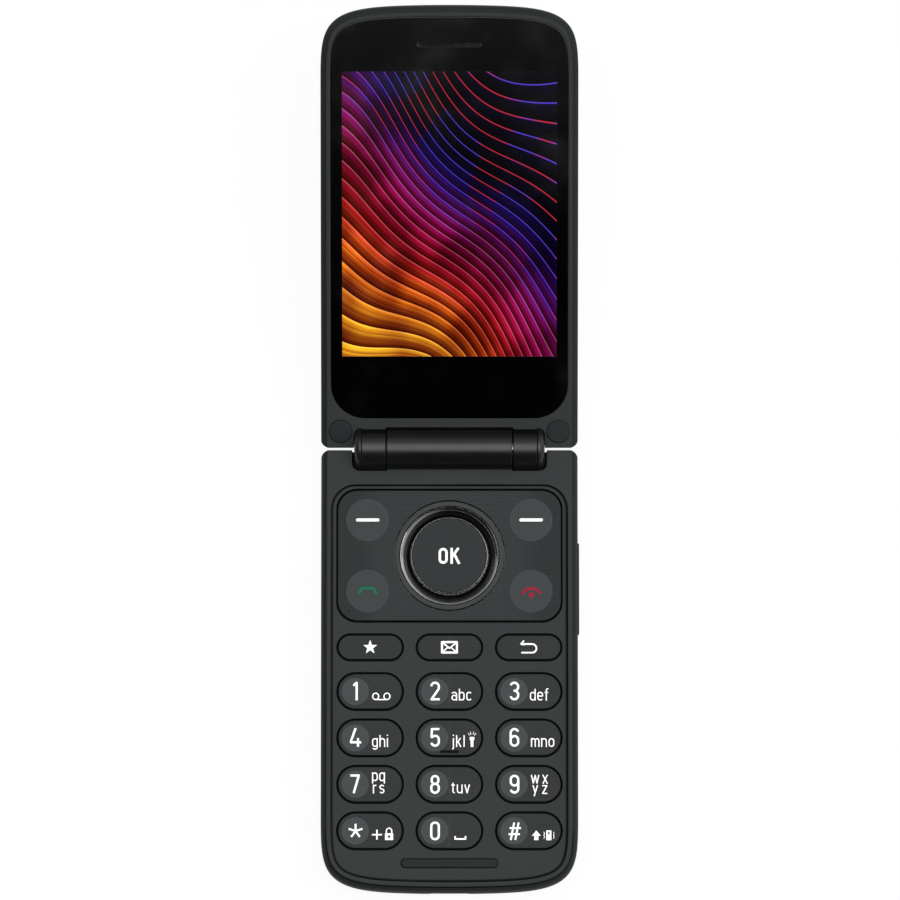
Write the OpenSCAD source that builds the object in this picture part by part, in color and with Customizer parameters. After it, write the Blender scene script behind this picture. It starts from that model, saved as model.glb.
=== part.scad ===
// Flip phone with a barrel hinge, drawn open.
// X runs to the right, Y from the keypad end to the screen end and Z up out of the keypad.
// The keypad half lies on its back, and the origin is the middle of that back.
// Both halves are leaves of the hinge and are drawn alike: x across, v away from the hinge axis,
// and z measured from the inner face, so a depth d below the face is at z = -d.

/* [Body] */
// Width across both halves
body_w = 58; // [57.8:0.1:64]
// Length of each half, from the hinge axis to its far end
leaf_len = 100.2; // [100:0.1:112]
// Thickness of the keypad half
base_t = 10.5; // [10.2:0.1:13]
// Thickness of the screen half
lid_t = 7.6; // [7.4:0.1:10]
// Gap between the two inner faces when the phone is closed
close_gap = 0.5; // [0.45:0.05:0.8]
// Gap between the ends of the two halves, beside the barrel
end_gap = 0.45; // [0.3:0.05:0.8]
// Angle between the two inner faces when fully open
open_angle = 165; // [150:1:175]

/* [Outline] */
// Exponent of the corner curve at the far end: 2 is an ellipse, more is squarer
corner_power = 5.6; // [4:0.1:7]
// Length of the corner curve along the side
corner_depth = 21; // [16:0.5:26]
// Rise of the shallow arc across the far end
end_rise = 1.05; // [0.5:0.05:1.6]
// Corner radius in plan beside the hinge
hinge_corner_r = 1.4; // [1:0.1:2]

/* [Shell] */
// Wall of the outer mouldings at the back faces
wall = 1.1; // [0.9:0.05:1.3]
// How far the parting line lies inside the widest outline
parting_inset = 1.3; // [1.1:0.05:1.5]
// Depth of the keypad half's parting line
base_parting = 1.0; // [0.8:0.05:1.2]
// Depth of the screen half's parting line
lid_parting = 0.85; // [0.7:0.05:1]
// Height of the bulge above the widest line, on the keypad half
base_bulge = 3.0; // [2.4:0.1:3.4]
// Height of the bulge above the widest line, on the screen half
lid_bulge = 1.6; // [1.2:0.1:2]
// Rounding of the back edges across the back
back_round = 3.2; // [2:0.1:3.6]
// Width of the raised rim round both inner faces
rim_w = 0.95; // [0.8:0.05:1.1]
// Gap between mouldings that fit together
fit_gap = 0.1; // [0.05:0.01:0.15]
// Height of the back cover's side wall
cover_h = 1.8; // [1.6:0.1:2]
// Thickness of the back cover's skin
cover_t = 0.9; // [0.7:0.05:1]
// Distance from the hinge axis to the edge of the back cover
cover_v = 2.4; // [2:0.1:3]

/* [Hinge] */
// Radius of the barrel
barrel_r = 4.6; // [4.4:0.1:5]
// Distance from the side of the phone to the end of the outer barrels
barrel_side = 7.52; // [7.4:0.02:8.2]
// Width of each outer barrel with its cap, which belong to the screen half
knuckle_w = 7.1; // [6.8:0.1:7.3]
// Gap between the middle and the outer barrels
seam_gap = 0.25; // [0.2:0.05:0.35]
// Clearance between a barrel and the half that turns round it
turn_gap = 0.33; // [0.3:0.01:0.4]
// Rounding of the barrel's outer ends
knuckle_round = 1.5; // [1:0.1:1.5]
// Width of the caps on the outer ends
cap_w = 1.7; // [1.6:0.05:2]
// Radius of the click hinge's can
case_r = 3.0; // [2.8:0.05:3.1]
// Distance from the middle of the phone to the click hinge's can
case_from = 1.28; // [1.2:0.02:3]
// Radius of the keyed boss at the can's end
keyed_r = 2.7; // [2.4:0.05:2.8]
// Radius of the hollow pin on the left
sleeve_r = 2.5; // [2.3:0.05:2.6]
// Running clearance of shafts and pins, on the radius
run_gap = 0.06; // [0.04:0.01:0.09]

/* [Keypad] */
// Depth of the dished keypad floor below the rim
recess = 0.5; // [0.4:0.05:0.6]
// Distance from the hinge axis to the keypad floor
recess_v = 8.0; // [7.9:0.05:8.3]
// Thickness of the moulding under the keypad floor
plate_t = 1.1; // [0.9:0.05:1.3]
// Gap round every key
key_gap = 0.25; // [0.2:0.05:0.3]
// Height of the keys above the keypad floor
key_proud = 0.18; // [0.1:0.02:0.3]
// Distance that a key goes down
key_travel = 0.3; // [0.25:0.05:0.35]
// Distance from the side of the phone to the outer keys
key_side = 3.97; // [3.9:0.01:4.4]
// Space between two columns of keys
col_gap = 3.5; // [3.2:0.1:4.2]
// Space between two rows of number keys
row_gap = 2.57; // [2.4:0.01:3]
// Space above and below the slim keys
block_gap = 3.31; // [3:0.01:3.6]
// Height of the slim keys
slim_h = 5.45; // [5:0.05:6]
// Distance from the last row of keys to the end of the phone
key_end = 9.94; // [9.8:0.02:11]
// Distance from the edge of the keypad floor to the plate round the ring
nav_from = 1.38; // [1.2:0.02:1.6]
// Distance from the side of the phone to the plate round the ring
nav_side = 3.85; // [3.8:0.05:4.4]
// Length of the plate round the ring
nav_h = 29.5; // [28:0.1:31]
// Corner radius of the plate round the ring
nav_corner = 4.4; // [3:0.1:6]
// Distance from the long edges of that plate to the ring
ring_margin = 2.45; // [2.2:0.05:3]
// Distance from the edge of the ring to the OK key
ring_w = 3.68; // [3.5:0.02:4]
// Width of the soft bar below the keys
bar_w = 21.7; // [16:0.1:24]
// Height of the soft bar
bar_h = 2; // [1.6:0.1:2.2]
// Distance from the far end to the middle of the soft bar
bar_from_end = 6.6; // [6.4:0.1:7]

/* [Side key] */
// Length of the side key
side_key_len = 20.9; // [16:0.1:23]
// Height of the side key
side_key_h = 2.5; // [2:0.1:2.8]
// Distance from the hinge axis to the middle of the side key
side_key_v = 31.3; // [28:0.1:36]
// How far the side key stands out
side_key_proud = 0.3; // [0.2:0.05:0.5]

/* [Screens] */
// Distance from the side of the phone to the main screen's picture
screen_side = 4.7; // [4.5:0.1:6]
// Distance from the hinge axis to the main screen's picture
screen_foot = 20.9; // [20:0.1:24]
// Distance from the main screen's picture to the far end
screen_end = 14.5; // [14.3:0.1:17]
// Distance from the hinge axis to the lower edge of the window
window_v = 6.95; // [6.9:0.05:7.4]
// Corner radius of the window's lower corners
window_corner = 7.7; // [5:0.1:9]
// Thickness of the windows
window_t = 0.8; // [0.6:0.05:0.9]
// Thickness of the main screen
panel_t = 1.9; // [1.7:0.1:2]
// Width of the earpiece slot
slot_w = 14.5; // [10:0.1:15]
// Height of the earpiece slot
slot_h = 1.05; // [0.8:0.05:1.2]
// Distance from the far end to the earpiece slot
slot_from_end = 8.55; // [8.4:0.05:8.8]
// Height of the earpiece behind the slot
earpiece_h = 6; // [5:0.1:6.2]
// Thickness of the earpiece
earpiece_t = 2.6; // [2.2:0.1:2.8]
// Distance from the side of the phone to the outer window
outer_side = 12; // [10:0.5:14]
// Distance from the hinge axis to the outer window
outer_foot = 27; // [25:0.5:30]
// Distance from the outer window to the far end
outer_end = 29.2; // [27:0.5:34]
// Distance from the hinge axis to the camera and the torch
camera_v = 14.5; // [14:0.1:16]
// Distance of the camera and of the torch from the middle
camera_x = 6; // [5.5:0.1:8]
// Radius of the camera's cover glass
camera_r = 4.2; // [3.8:0.1:4.6]
// Width of the camera's body
camera_w = 7.4; // [7:0.1:8]
// Radius of the torch's lens
torch_r = 2; // [1.6:0.1:2.4]
// Radius of the discs beside the hinge
bumper_r = 2.58; // [2.2:0.02:2.6]
// Height of the discs above the lid's inner face
bumper_h = 0.4; // [0.3:0.02:0.4]

/* [Inside] */
// Thickness of the circuit boards
board_t = 0.8; // [0.6:0.1:0.9]
// Distance from the side of the phone to the battery
battery_side = 9; // [8.6:0.1:11]
// Distance from the hinge axis to the battery
battery_v = 31.2; // [31:0.1:32]
// Distance from the battery to the far end
battery_end = 19.5; // [19.3:0.1:24]
// Width of the card holder
sim_w = 23; // [20:0.5:23]
// Length of the card holder and of the screening cans
sim_h = 13; // [12:0.1:13]
// Thickness of the card holder
sim_t = 1.4; // [1.2:0.05:1.5]
// Thickness of the screening cans
can_t = 1.3; // [1:0.05:1.4]
// Distance from the side of the phone to the loudspeaker
speaker_side = 8.5; // [8:0.1:10]
// Length of the loudspeaker
speaker_h = 11; // [9:0.5:11]
// Radius of the vibration motor
motor_r = 4; // [3.5:0.1:4]
// Thickness of the vibration motor
motor_t = 2.7; // [2.4:0.1:3]
// Width of the charging socket
usb_w = 9; // [8.8:0.05:9.2]
// Height of the charging socket
usb_t = 3.2; // [3:0.05:3.3]
// Length of the charging socket
usb_len = 7.4; // [6.8:0.1:7.6]
// Distance from the far end to the edge of the aerial's carrier
antenna_w = 9; // [8:0.1:9.2]
// Radius of the screws' heads
screw_head_r = 1.4; // [1.2:0.05:1.5]

/* [Hidden] */
$fn = 48;
half_w = body_w / 2;
leaf_v0 = end_gap / 2;
face_to_axis = close_gap / 2;
axis_y = leaf_len / 2 + leaf_v0 / 2;
lid_lift = 180 - open_angle;
knuckle_end = half_w - barrel_side;
knuckle_x = knuckle_end - knuckle_w;
barrel_half = knuckle_x - seam_gap;
knuckle_pocket = knuckle_end + 0.5;
barrel_low = barrel_r - face_to_axis;
rim_inset = parting_inset + rim_w;
lip_inset = parting_inset + 0.75;
cavity_inset = lip_inset + fit_gap;
cavity_v = recess_v + 0.5;
root_v = recess_v - 0.5;
eps = 0.01;
// Steps along each far corner of the outline
corner_steps = 13;

// Keypad: the keys take what the gaps and the ring's plate leave
key_w = (body_w - 2 * key_side - 2 * col_gap) / 3;
col_pitch = key_w + col_gap;
nav_w = body_w - 2 * nav_side;
nav_v = recess_v + nav_from + nav_h / 2;
ring_r = nav_h / 2 - ring_margin;
ok_r = ring_r - ring_w;
slim_v = nav_v + nav_h / 2 + block_gap + slim_h / 2;
rows_from = slim_v + slim_h / 2 + block_gap;
key_h = (leaf_len - key_end - rows_from - 3 * row_gap) / 4;
row_pitch = key_h + row_gap;
row_v = rows_from + key_h / 2;
// Middle of the plate's corner keys, measured from the middle of the ring
corner_key = [nav_w / 2 - 6.75, nav_h / 2 - 6.65];

// Depths in the keypad half, from the face down
plate_low = recess + plate_t;
flange_t = 0.6;
flange_out = 0.6;
lip_low = plate_low + 0.8;
key_low = plate_low + fit_gap + flange_t;
pad_top = key_low + key_travel + 0.05;
web_top = pad_top + 0.4;
web_low = web_top + 0.4;
dome_h = 0.25;
foil_top = web_low + 0.15 + 0.05 + dome_h;
foil_low = foil_top + 0.15;
board_low = foil_low + board_t;
floor_top = board_low + 0.05;
floor_low = floor_top + 0.5;
battery_low = base_t - cover_t - fit_gap;
battery_top = floor_low + fit_gap;
cover_top = base_t - cover_h;

// Screens and battery: what is left between the named borders
screen_w = body_w - 2 * screen_side;
screen_h = leaf_len - screen_foot - screen_end;
screen_v = screen_foot + screen_h / 2;
outer_w = body_w - 2 * outer_side;
outer_h = leaf_len - outer_foot - outer_end;
outer_v = outer_foot + outer_h / 2;
battery_w = body_w - 2 * battery_side;
battery_h = leaf_len - battery_v - battery_end;

// Depths in the screen half
window_low = 0.05 + window_t;
panel_top = window_low + 0.05;
panel_low = panel_top + panel_t;
panel_side = 1.3;
panel_foot = 4.3;
panel_size = [screen_w + 2 * panel_side, screen_h + panel_side + panel_foot];
outer_seat = lid_t - window_t;
outer_panel_t = 1.5;
outer_panel_top = outer_seat - 0.05 - outer_panel_t;
lid_board_low = outer_panel_top - 0.05;
lid_board_top = lid_board_low - board_t;
carrier_top = panel_low + 0.05;
carrier_low = lid_board_top - 0.05;
lid_plate_low = lid_parting + 1.1;
lid_screw_low = lid_t - wall - 1.1;

// Places of the inner pieces
end_screw = [half_w - 10.5, leaf_len - 5.7];
hinge_screw = [half_w - 4.2, 5.0];
boss_r = 1.9;
speaker_w = half_w - speaker_side - usb_w / 2 - 1;
speaker_size = [speaker_w, speaker_h];
speaker_at = [-usb_w / 2 - 1 - speaker_w / 2, leaf_len - 12.9];
motor_at = [half_w - 15, leaf_len - 12.7];
usb_front = leaf_len - 0.9;
mic_size = [3.6, 2.8];
mic_t = 1.1;
mic_at = [usb_w / 2 + 6, leaf_len - 4.6];
card_v = cavity_v + 6.3 + sim_h / 2;
sim_size = [sim_w, sim_h];
sim_at = [sim_w / 2 + 5 - half_w, card_v];
can_side = 4.3;
can_gap = 1;
can_x0 = sim_at[0] + sim_w / 2 + 2.7;
can_w = (half_w - can_side - can_gap - can_x0) / 2;
can_size = [can_w, sim_h];
slot_v = leaf_len - slot_from_end;
bumper_at = [half_w - 4.44, 3.97];
side_key_d = base_parting + base_bulge + 0.8;
side_lip = 0.9;
bar_v = leaf_len - bar_from_end;

GREY = [0.25, 0.26, 0.265];
KEY_GREY = [0.29, 0.3, 0.305];
SIDE_GREY = [0.2, 0.22, 0.215];

// Outline of a leaf

function signed_power(u, p) = sign(u) * pow(abs(u), p);

// A point on the right half of the far end: t = 90 on the side, t = 0 at the middle of the end
function end_point(t) =
    let (s = signed_power(sin(t), 2 / corner_power), c = signed_power(cos(t), 2 / corner_power))
    [half_w * s, leaf_len - end_rise * s * s - corner_depth * (1 - c)];

function unit(a) = a / norm(a);

// The same point moved square to the outline, inwards by inset
function inset_point(t, inset) =
    let (along = unit(end_point(t - 0.4) - end_point(t + 0.4)))
    end_point(t) + inset * [-along[1], along[0]];

// Right half of the outline, from the hinge end to the far end
function right_side(inset, v0, r) = concat(
    [for (a = [-90 : 30 : 0]) [half_w - inset - r + r * cos(a), v0 + r + r * sin(a)]],
    [for (i = [0 : corner_steps - 1]) inset_point(90 - 90 * i / corner_steps, inset)]);

function mirrored(points) = [for (i = [len(points) - 1 : -1 : 0]) [-points[i][0], points[i][1]]];

// Closed outline at an inset, cut off at v0 with corner radius r
function leaf_outline(inset, v0, r) =
    let (side = right_side(inset, v0, r))
    concat(side, [[0, leaf_len - inset]], mirrored(side));

// Corner radius beside the hinge at an inset
function hinge_corner(inset) = max(0.2, hinge_corner_r - inset);

// Solid through a stack of outlines: each level is [depth, inset, v0, corner radius]
module loft(levels) {
    rings = [for (l = levels) [for (p = leaf_outline(l[1], l[2], l[3])) [p[0], p[1], -l[0]]]];
    n = len(rings[0]);
    last = len(rings) - 1;
    sides = [for (j = [0 : last - 1], i = [0 : n - 1]) let (k = (i + 1) % n)
        each [[j * n + i, j * n + k, (j + 1) * n + k], [j * n + i, (j + 1) * n + k, (j + 1) * n + i]]];
    top = [for (i = [n - 1 : -1 : 0]) i];
    bottom = [for (i = [0 : n - 1]) last * n + i];
    polyhedron([for (r = rings, p = r) p], concat([top, bottom], sides));
}

// Straight-sided block between two depths
module leaf_prism(inset, from, to, v0 = leaf_v0, r = 0.2)
    translate([0, 0, -to]) linear_extrude(to - from) polygon(leaf_outline(inset, v0, r));

// Section of a moulded half: the bulge from the parting line to the widest line, then the back
function bulge(parting, rise) =
    [for (a = [0 : 30 : 90]) let (i = parting_inset * (1 - sin(a)))
        [parting + rise * (1 - cos(a)), i, leaf_v0, hinge_corner(i)]];

function back_edge(thick, widest) =
    let (drop = (thick - widest) * 0.7)
    [for (a = [0 : 22.5 : 90]) let (i = back_round * (1 - cos(a)))
        [thick - drop * (1 - sin(a)), i, leaf_v0, hinge_corner(i)]];

// Section of the thin frame above the parting line, with its top edge broken
function frame_edge(parting) = [for (l = [[0, 0.22], [0.06, 0.07], [0.2, 0], [parting, 0]])
    let (i = parting_inset + l[1]) [l[0], i, leaf_v0, hinge_corner(i)]];

module moulded_body(thick, parting, rise)
    loft(concat(bulge(parting, rise), back_edge(thick, parting + rise)));

module base_body() moulded_body(base_t, base_parting, base_bulge);

module lid_body() moulded_body(lid_t, lid_parting, lid_bulge);

// Placing

// Puts a keypad-half piece in its place
module in_base() translate([0, axis_y, base_t]) mirror([0, 1, 0]) children();

// Puts a screen-half piece in its place, at the open angle
module in_lid()
    translate([0, axis_y, base_t + face_to_axis]) rotate([lid_lift, 0, 0])
        translate([0, 0, -face_to_axis]) children();

// Lays something drawn along Z onto the hinge axis, in leaf measures
module on_axis(x = 0) translate([x, 0, face_to_axis]) rotate([0, 90, 0]) children();

module at(p, d = 0) translate([p[0], p[1], -d]) children();

// Box centred in x and v, between two depths
module slab(size, from, to)
    translate([-size[0] / 2, -size[1] / 2, -to]) cube([size[0], size[1], to - from]);

module both_sides() {
    children();
    mirror([1, 0, 0]) children();
}

// Flat shapes

module pill(w, h) {
    r = h / 2;
    square([w - h, h], center = true);
    for (s = [-1, 1]) translate([s * (w / 2 - r), 0]) circle(r);
}

module rounded_square(w, h, r) {
    square([w - 2 * r, h], center = true);
    square([w, h - 2 * r], center = true);
    for (x = [-1, 1], y = [-1, 1]) translate([x * (w / 2 - r), y * (h / 2 - r)]) circle(r);
}

// A flat shape made solid between two depths
module plate(from, to) translate([0, 0, -to]) linear_extrude(to - from) children();

// Hinge barrels

// Barrel section turned about the axis, with its far edge rounded
module round_end(from, to, r, round)
    on_axis() rotate_extrude() {
        translate([0, from]) square([r, to - from - round]);
        translate([0, from]) square([r - round, to - from]);
        translate([r - round, to - round]) intersection() {
            circle(round);
            square(round);
        }
    }

// Space in which an outer barrel turns
module knuckle_space() round_end(barrel_half, knuckle_pocket, barrel_r + turn_gap, knuckle_round + 0.1);

// Barrel with the block that carries it on its own half
module barrel_block(x0, x1, r) {
    on_axis(x0) cylinder(r = r, h = x1 - x0);
    translate([x0, 0, -(r - face_to_axis)]) cube([x1 - x0, root_v + r - barrel_r, r - face_to_axis]);
}

// Passage for the flexible circuit, from the bore to the half's inside
module flex_slot(x0, x1, low) {
    translate([x0, 0, -2.2]) cube([x1 - x0, cavity_v + eps, 1.2]);
    translate([x0, root_v + fit_gap, -low]) cube([x1 - x0, cavity_v - root_v - fit_gap + eps, low - 1]);
}

// Flexible circuit: rolled in the bore, then a strip down to the board
module flex_strip(x0, x1, low) {
    roll_r = 1.6;
    flex_t = 0.16;
    on_axis(x0) difference() {
        cylinder(r = roll_r, h = x1 - x0);
        translate([0, 0, -eps]) cylinder(r = roll_r - flex_t, h = x1 - x0 + 2 * eps);
    }
    top = roll_r - face_to_axis;
    turn_v = root_v + fit_gap + 0.25;
    translate([x1, 0, 0]) rotate([90, 0, -90]) linear_extrude(x1 - x0) mirror([1, 0])
        polygon([[0, -top], [0, flex_t - top], [turn_v + flex_t, flex_t - top],
            [cavity_v - 0.1 + flex_t, -low + flex_t], [cavity_v + 2.5, -low + flex_t],
            [cavity_v + 2.5, -low], [cavity_v - 0.1, -low], [turn_v, -top]]);
}

// Section of the click hinge's boss, with two flats that turn it with the screen half
module keyed(grow) intersection() {
    circle(keyed_r + grow);
    square([1.5 * keyed_r + 2 * grow, 4 * keyed_r], center = true);
}

// The hollow pin joins the left outer barrel to the middle one, and the circuits pass beside its ends
sleeve_x = [-knuckle_x - 2.62, 0.4 * barrel_half - barrel_half];
flex_x = [sleeve_x[1] + 1, sleeve_x[1] + 4.8];
lid_flex_x = [sleeve_x[0] - 2.4, sleeve_x[0] - 0.2];

// Keypad half: mouldings

// Dished recess for the keypad, open at the rim
module keypad_dish() {
    dish = [[-0.1, 0], [recess * 0.45, 0.1], [recess * 0.8, 0.35], [recess, 0.95]];
    loft([for (l = dish) [l[0], rim_inset + l[1], recess_v + l[1] * 0.3, 5.6 - l[1]]]);
}

module key_places(cols, v) for (c = cols) translate([c * col_pitch, v]) children();

module all_key_shapes(grow) {
    for (row = [0 : 3]) key_places([-1, 0, 1], row_v + row * row_pitch)
        pill(key_w + 2 * grow, key_h + 2 * grow);
    key_places([-1, 0, 1], slim_v) pill(key_w + 2 * grow, slim_h + 2 * grow);
    translate([0, nav_v]) rounded_square(nav_w + 2 * grow, nav_h + 2 * grow, nav_corner + grow);
}

module screw_places() both_sides() {
    at(end_screw) children();
    at(hinge_screw) children();
}

module base_front_frame() color(GREY) in_base() difference() {
    union() {
        loft(frame_edge(base_parting));
        leaf_prism(lip_inset, base_parting - eps, plate_low, leaf_v0 + 0.6);
        // Lip inside the rear shell's wall, along the sides and the far end
        difference() {
            leaf_prism(lip_inset, plate_low - eps, lip_low, cavity_v + fit_gap, 1);
            leaf_prism(lip_inset + 0.75, plate_low - 2 * eps, lip_low + 1, cavity_v - 1);
        }
        barrel_block(-barrel_half, barrel_half, barrel_r);
        screw_places() plate(plate_low - eps, floor_top - 0.05) circle(boss_r);
    }
    keypad_dish();
    plate(recess - 0.2, plate_low + 0.1) all_key_shapes(key_gap);
    both_sides() knuckle_space();
    // Bore for the click hinge, bore for the hollow pin and the circuit's passage
    on_axis(case_start - 0.9) cylinder(r = case_r + fit_gap / 2, h = case_len + 2);
    on_axis(-barrel_half - 1) cylinder(r = sleeve_r + run_gap, h = barrel_half + flex_x[1] + 1.8);
    flex_slot(flex_x[0] - 0.2, flex_x[1] + 0.2, foil_top);
    screw_places() translate([0, 0, -floor_top - 1]) cylinder(r = 0.7, h = floor_top - plate_low + 1.4);
    // Seat of the soft bar
    at([0, bar_v]) plate(0, recess + 0.6) pill(bar_w + 2 * fit_gap, bar_h + 2 * fit_gap);
}

// Space under the main board for what hangs from it
module under_board(p, size, depth)
    at(p) slab(size + [0.3, 0.3], floor_top - 0.2, board_low + depth + 0.1);

// Clips inside the back cover, which hold in the rear shell
module cover_clips(grow) {
    for (u = [0.24, 0.56, 0.84]) both_sides() at([half_w - 4.4, u * leaf_len])
        slab([0.9, 5] + 2 * [grow, grow], cover_top - 1.4 - grow, base_t - cover_t + eps);
}

module base_rear_shell() color(SIDE_GREY) in_base() difference() {
    base_body();
    // Seat of the back cover
    translate([-half_w - 1, cover_v, -base_t - 1]) cube([body_w + 2, leaf_len, cover_h + 1]);
    cover_clips(fit_gap);
    // Room for the board and the keys, then the battery bay from the other side
    leaf_prism(cavity_inset, base_parting - 1, floor_top, cavity_v, 1.5);
    leaf_prism(lip_inset - fit_gap, base_parting - 1, plate_low + fit_gap, leaf_v0 + 0.5);
    leaf_prism(lip_inset - fit_gap, base_parting - 1, lip_low + fit_gap, cavity_v, 1);
    at([0, battery_v + battery_h / 2])
        slab([battery_w + 0.4, battery_h + 0.4], floor_low, base_t);
    at([0, battery_v - 1.2]) slab([14, 3], floor_top - 0.1, base_t);
    // Hinge
    difference() {
        barrel_block(-barrel_half - fit_gap, barrel_half + fit_gap, barrel_r + fit_gap);
        translate([-half_w, -leaf_len, -base_t]) cube([body_w, leaf_len - eps, base_t]);
    }
    on_axis(-barrel_half - fit_gap) cylinder(r = barrel_r + fit_gap, h = 2 * (barrel_half + fit_gap));
    both_sides() knuckle_space();
    flex_slot(flex_x[0] - 0.2, flex_x[1] + 0.2, foil_top);
    // Pockets for the parts under the board
    at(sim_at) slab(sim_size + [0.4, 0.4], floor_top - 0.1, base_t);
    can_places() under_board([0, 0], can_size, can_t + 0.1);
    at(speaker_at) slab(speaker_size + [0.4, 0.4], floor_top - 0.1, base_t);
    at(motor_at, board_low + motor_t + 0.2) cylinder(r = motor_r + 0.2, h = motor_t + 0.5);
    under_board([0, usb_front - usb_len / 2], [usb_w, usb_len], usb_t);
    translate([0, leaf_len + 1, -board_low - usb_t / 2]) rotate([90, 0, 0])
        linear_extrude(usb_len) pill(usb_w + 0.4, usb_t + 0.4);
    under_board(mic_at, mic_size, mic_t);
    translate([mic_at[0], leaf_len + 1, -board_low - mic_t / 2]) rotate([90, 0, 0])
        cylinder(r = mic_t / 2 - 0.05, h = leaf_len - mic_at[1] + 0.4);
    // Side key: slot in the wall, wider room behind it and the switch board's seat
    translate([0, side_key_v, -side_key_d]) {
        translate([half_w - side_lip - 1, -side_key_len / 2 - 0.15, -side_key_h / 2 - 0.15])
            cube([3, side_key_len + 0.3, side_key_h + 0.3]);
        translate([half_w - 3, -side_key_len / 2 - 0.6, -side_key_h / 2 - 0.6])
            cube([3 - side_lip, side_key_len + 1.2, side_key_h + 1.2]);
    }
    // Screws
    screw_places() {
        plate(plate_low - 0.1, floor_top) circle(boss_r + fit_gap);
        translate([0, 0, -base_t]) cylinder(r = 0.8, h = base_t - plate_low);
        translate([0, 0, -base_t]) cylinder(r = screw_head_r + 0.1, h = cover_h + 1);
    }
}

module battery_cover() color(SIDE_GREY) in_base() {
    difference() {
        intersection() {
            base_body();
            translate([-half_w - 1, cover_v + fit_gap, -base_t - 1])
                cube([body_w + 2, leaf_len, cover_h + 1 - fit_gap]);
        }
        leaf_prism(back_round + 0.5, cover_top, base_t - cover_t, cover_v + 1.3, 2);
        // Sound slots over the loudspeaker
        for (i = [-2 : 2]) at(speaker_at + [i * 2.2, 0]) plate(cover_top, base_t + 1)
            rotate(90) pill(6.5, 0.9);
    }
    cover_clips(0);
}

// Keypad half: inside

module battery_pack() color([0.15, 0.15, 0.17]) in_base()
    at([0, battery_v + battery_h / 2])
        plate(battery_top, battery_low) rounded_square(battery_w, battery_h, 1.2);

module battery_terminals() in_base() at([0, battery_v - 1.3]) {
    color([0.1, 0.1, 0.1]) slab([12, 1.8], board_low, battery_top + 2.4);
    color([0.8, 0.65, 0.3]) for (x = [-4, 0, 4])
        at([x, 1.0]) slab([1.4, 0.36], board_low + 0.6, battery_top + 1.8);
}

module sim_holder() color([0.72, 0.73, 0.74]) in_base() at(sim_at) difference() {
    slab(sim_size, board_low, board_low + sim_t);
    slab(sim_size - [1, -1], board_low + 0.4, board_low + sim_t - 0.2);
    for (s = [-1, 1]) at([s * sim_w / 4, 0]) plate(board_low + 1, board_low + 2)
        rounded_square(sim_w / 3, sim_h - 5, 1);
}

module board_outline(from, to) difference() {
    leaf_prism(cavity_inset + 1.2, from, to, cavity_v + 0.2, 1.5);
    screw_places() plate(from - 1, to + 1) circle(boss_r + 0.3);
}

module main_board() color([0.1, 0.3, 0.2]) in_base() difference() {
    board_outline(foil_low, board_low);
    both_sides() at([half_w - 7, battery_v - 1]) plate(0, base_t) circle(0.8);
}

module can_places() for (i = [0, 1])
    at([can_x0 + can_w / 2 + i * (can_w + can_gap), card_v]) children();

module shield_cans() color([0.75, 0.76, 0.77]) in_base() can_places() difference() {
    slab(can_size, board_low, board_low + can_t);
    slab(can_size - [0.4, 0.4], board_low - eps, board_low + can_t - 0.2);
}

module corner_keys() for (x = [-1, 1], y = [-1, 1])
    translate([x * corner_key[0], y * corner_key[1]]) children();

// Places that have a switch dome: every key, the four corners of the plate and the ring's four sides
module dome_places() {
    for (row = [0 : 3]) key_places([-1, 0, 1], row_v + row * row_pitch) children();
    key_places([-1, 0, 1], slim_v) children();
    translate([0, nav_v]) {
        children();
        corner_keys() children();
        for (a = [0 : 90 : 270]) rotate(a) translate([(ring_r + ok_r) / 2, 0]) children();
    }
}

module dome_sheet() color([0.8, 0.8, 0.75]) in_base() {
    difference() {
        leaf_prism(cavity_inset + 1.6, foil_top, foil_low, cavity_v + 3, 1.5);
        screw_places() plate(0, base_t) circle(boss_r + 0.5);
    }
    dome_places() translate([0, 0, -foil_top]) cylinder(r1 = 1.7, r2 = 0.9, h = dome_h);
}

module keypad_mat() color([0.75, 0.75, 0.72]) in_base() {
    difference() {
        leaf_prism(cavity_inset + 1.6, web_top, web_low, cavity_v + 3, 1.5);
        screw_places() plate(0, base_t) circle(boss_r + 0.5);
    }
    for (row = [0 : 3]) key_places([-1, 0, 1], row_v + row * row_pitch)
        plate(pad_top, web_top + eps) pill(key_w - 3, key_h - 2);
    key_places([-1, 0, 1], slim_v) plate(pad_top, web_top + eps) pill(key_w - 3, slim_h - 1.6);
    translate([0, nav_v]) {
        corner_keys() plate(pad_top, web_top + eps) circle(3);
        for (a = [0 : 90 : 270]) rotate(a) translate([(ring_r + ok_r) / 2, 0])
            plate(pad_top, web_top + eps) circle(1.4);
        plate(pad_top, web_top + eps) circle(4);
    }
    dome_places() plate(web_low - eps, web_low + 0.15) circle(0.9);
}

module loudspeaker() in_base() at(speaker_at) {
    color([0.12, 0.12, 0.12]) difference() {
        slab(speaker_size, board_low, cover_top - 0.3);
        plate(cover_top - 0.9, cover_top) rounded_square(speaker_size[0] - 2, speaker_size[1] - 2, 2);
    }
    color([0.6, 0.6, 0.62]) plate(cover_top - 1.1, cover_top - 0.7)
        rounded_square(speaker_size[0] - 4, speaker_size[1] - 4, 2);
}

module vibration_motor() color([0.7, 0.7, 0.72]) in_base()
    at(motor_at, board_low + motor_t) cylinder(r = motor_r, h = motor_t);

module microphone() color([0.75, 0.7, 0.5]) in_base() at(mic_at) difference() {
    slab(mic_size, board_low, board_low + mic_t);
    translate([0, 2, -board_low - mic_t / 2]) rotate([90, 0, 0]) cylinder(r = 0.35, h = 1.6);
}

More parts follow.
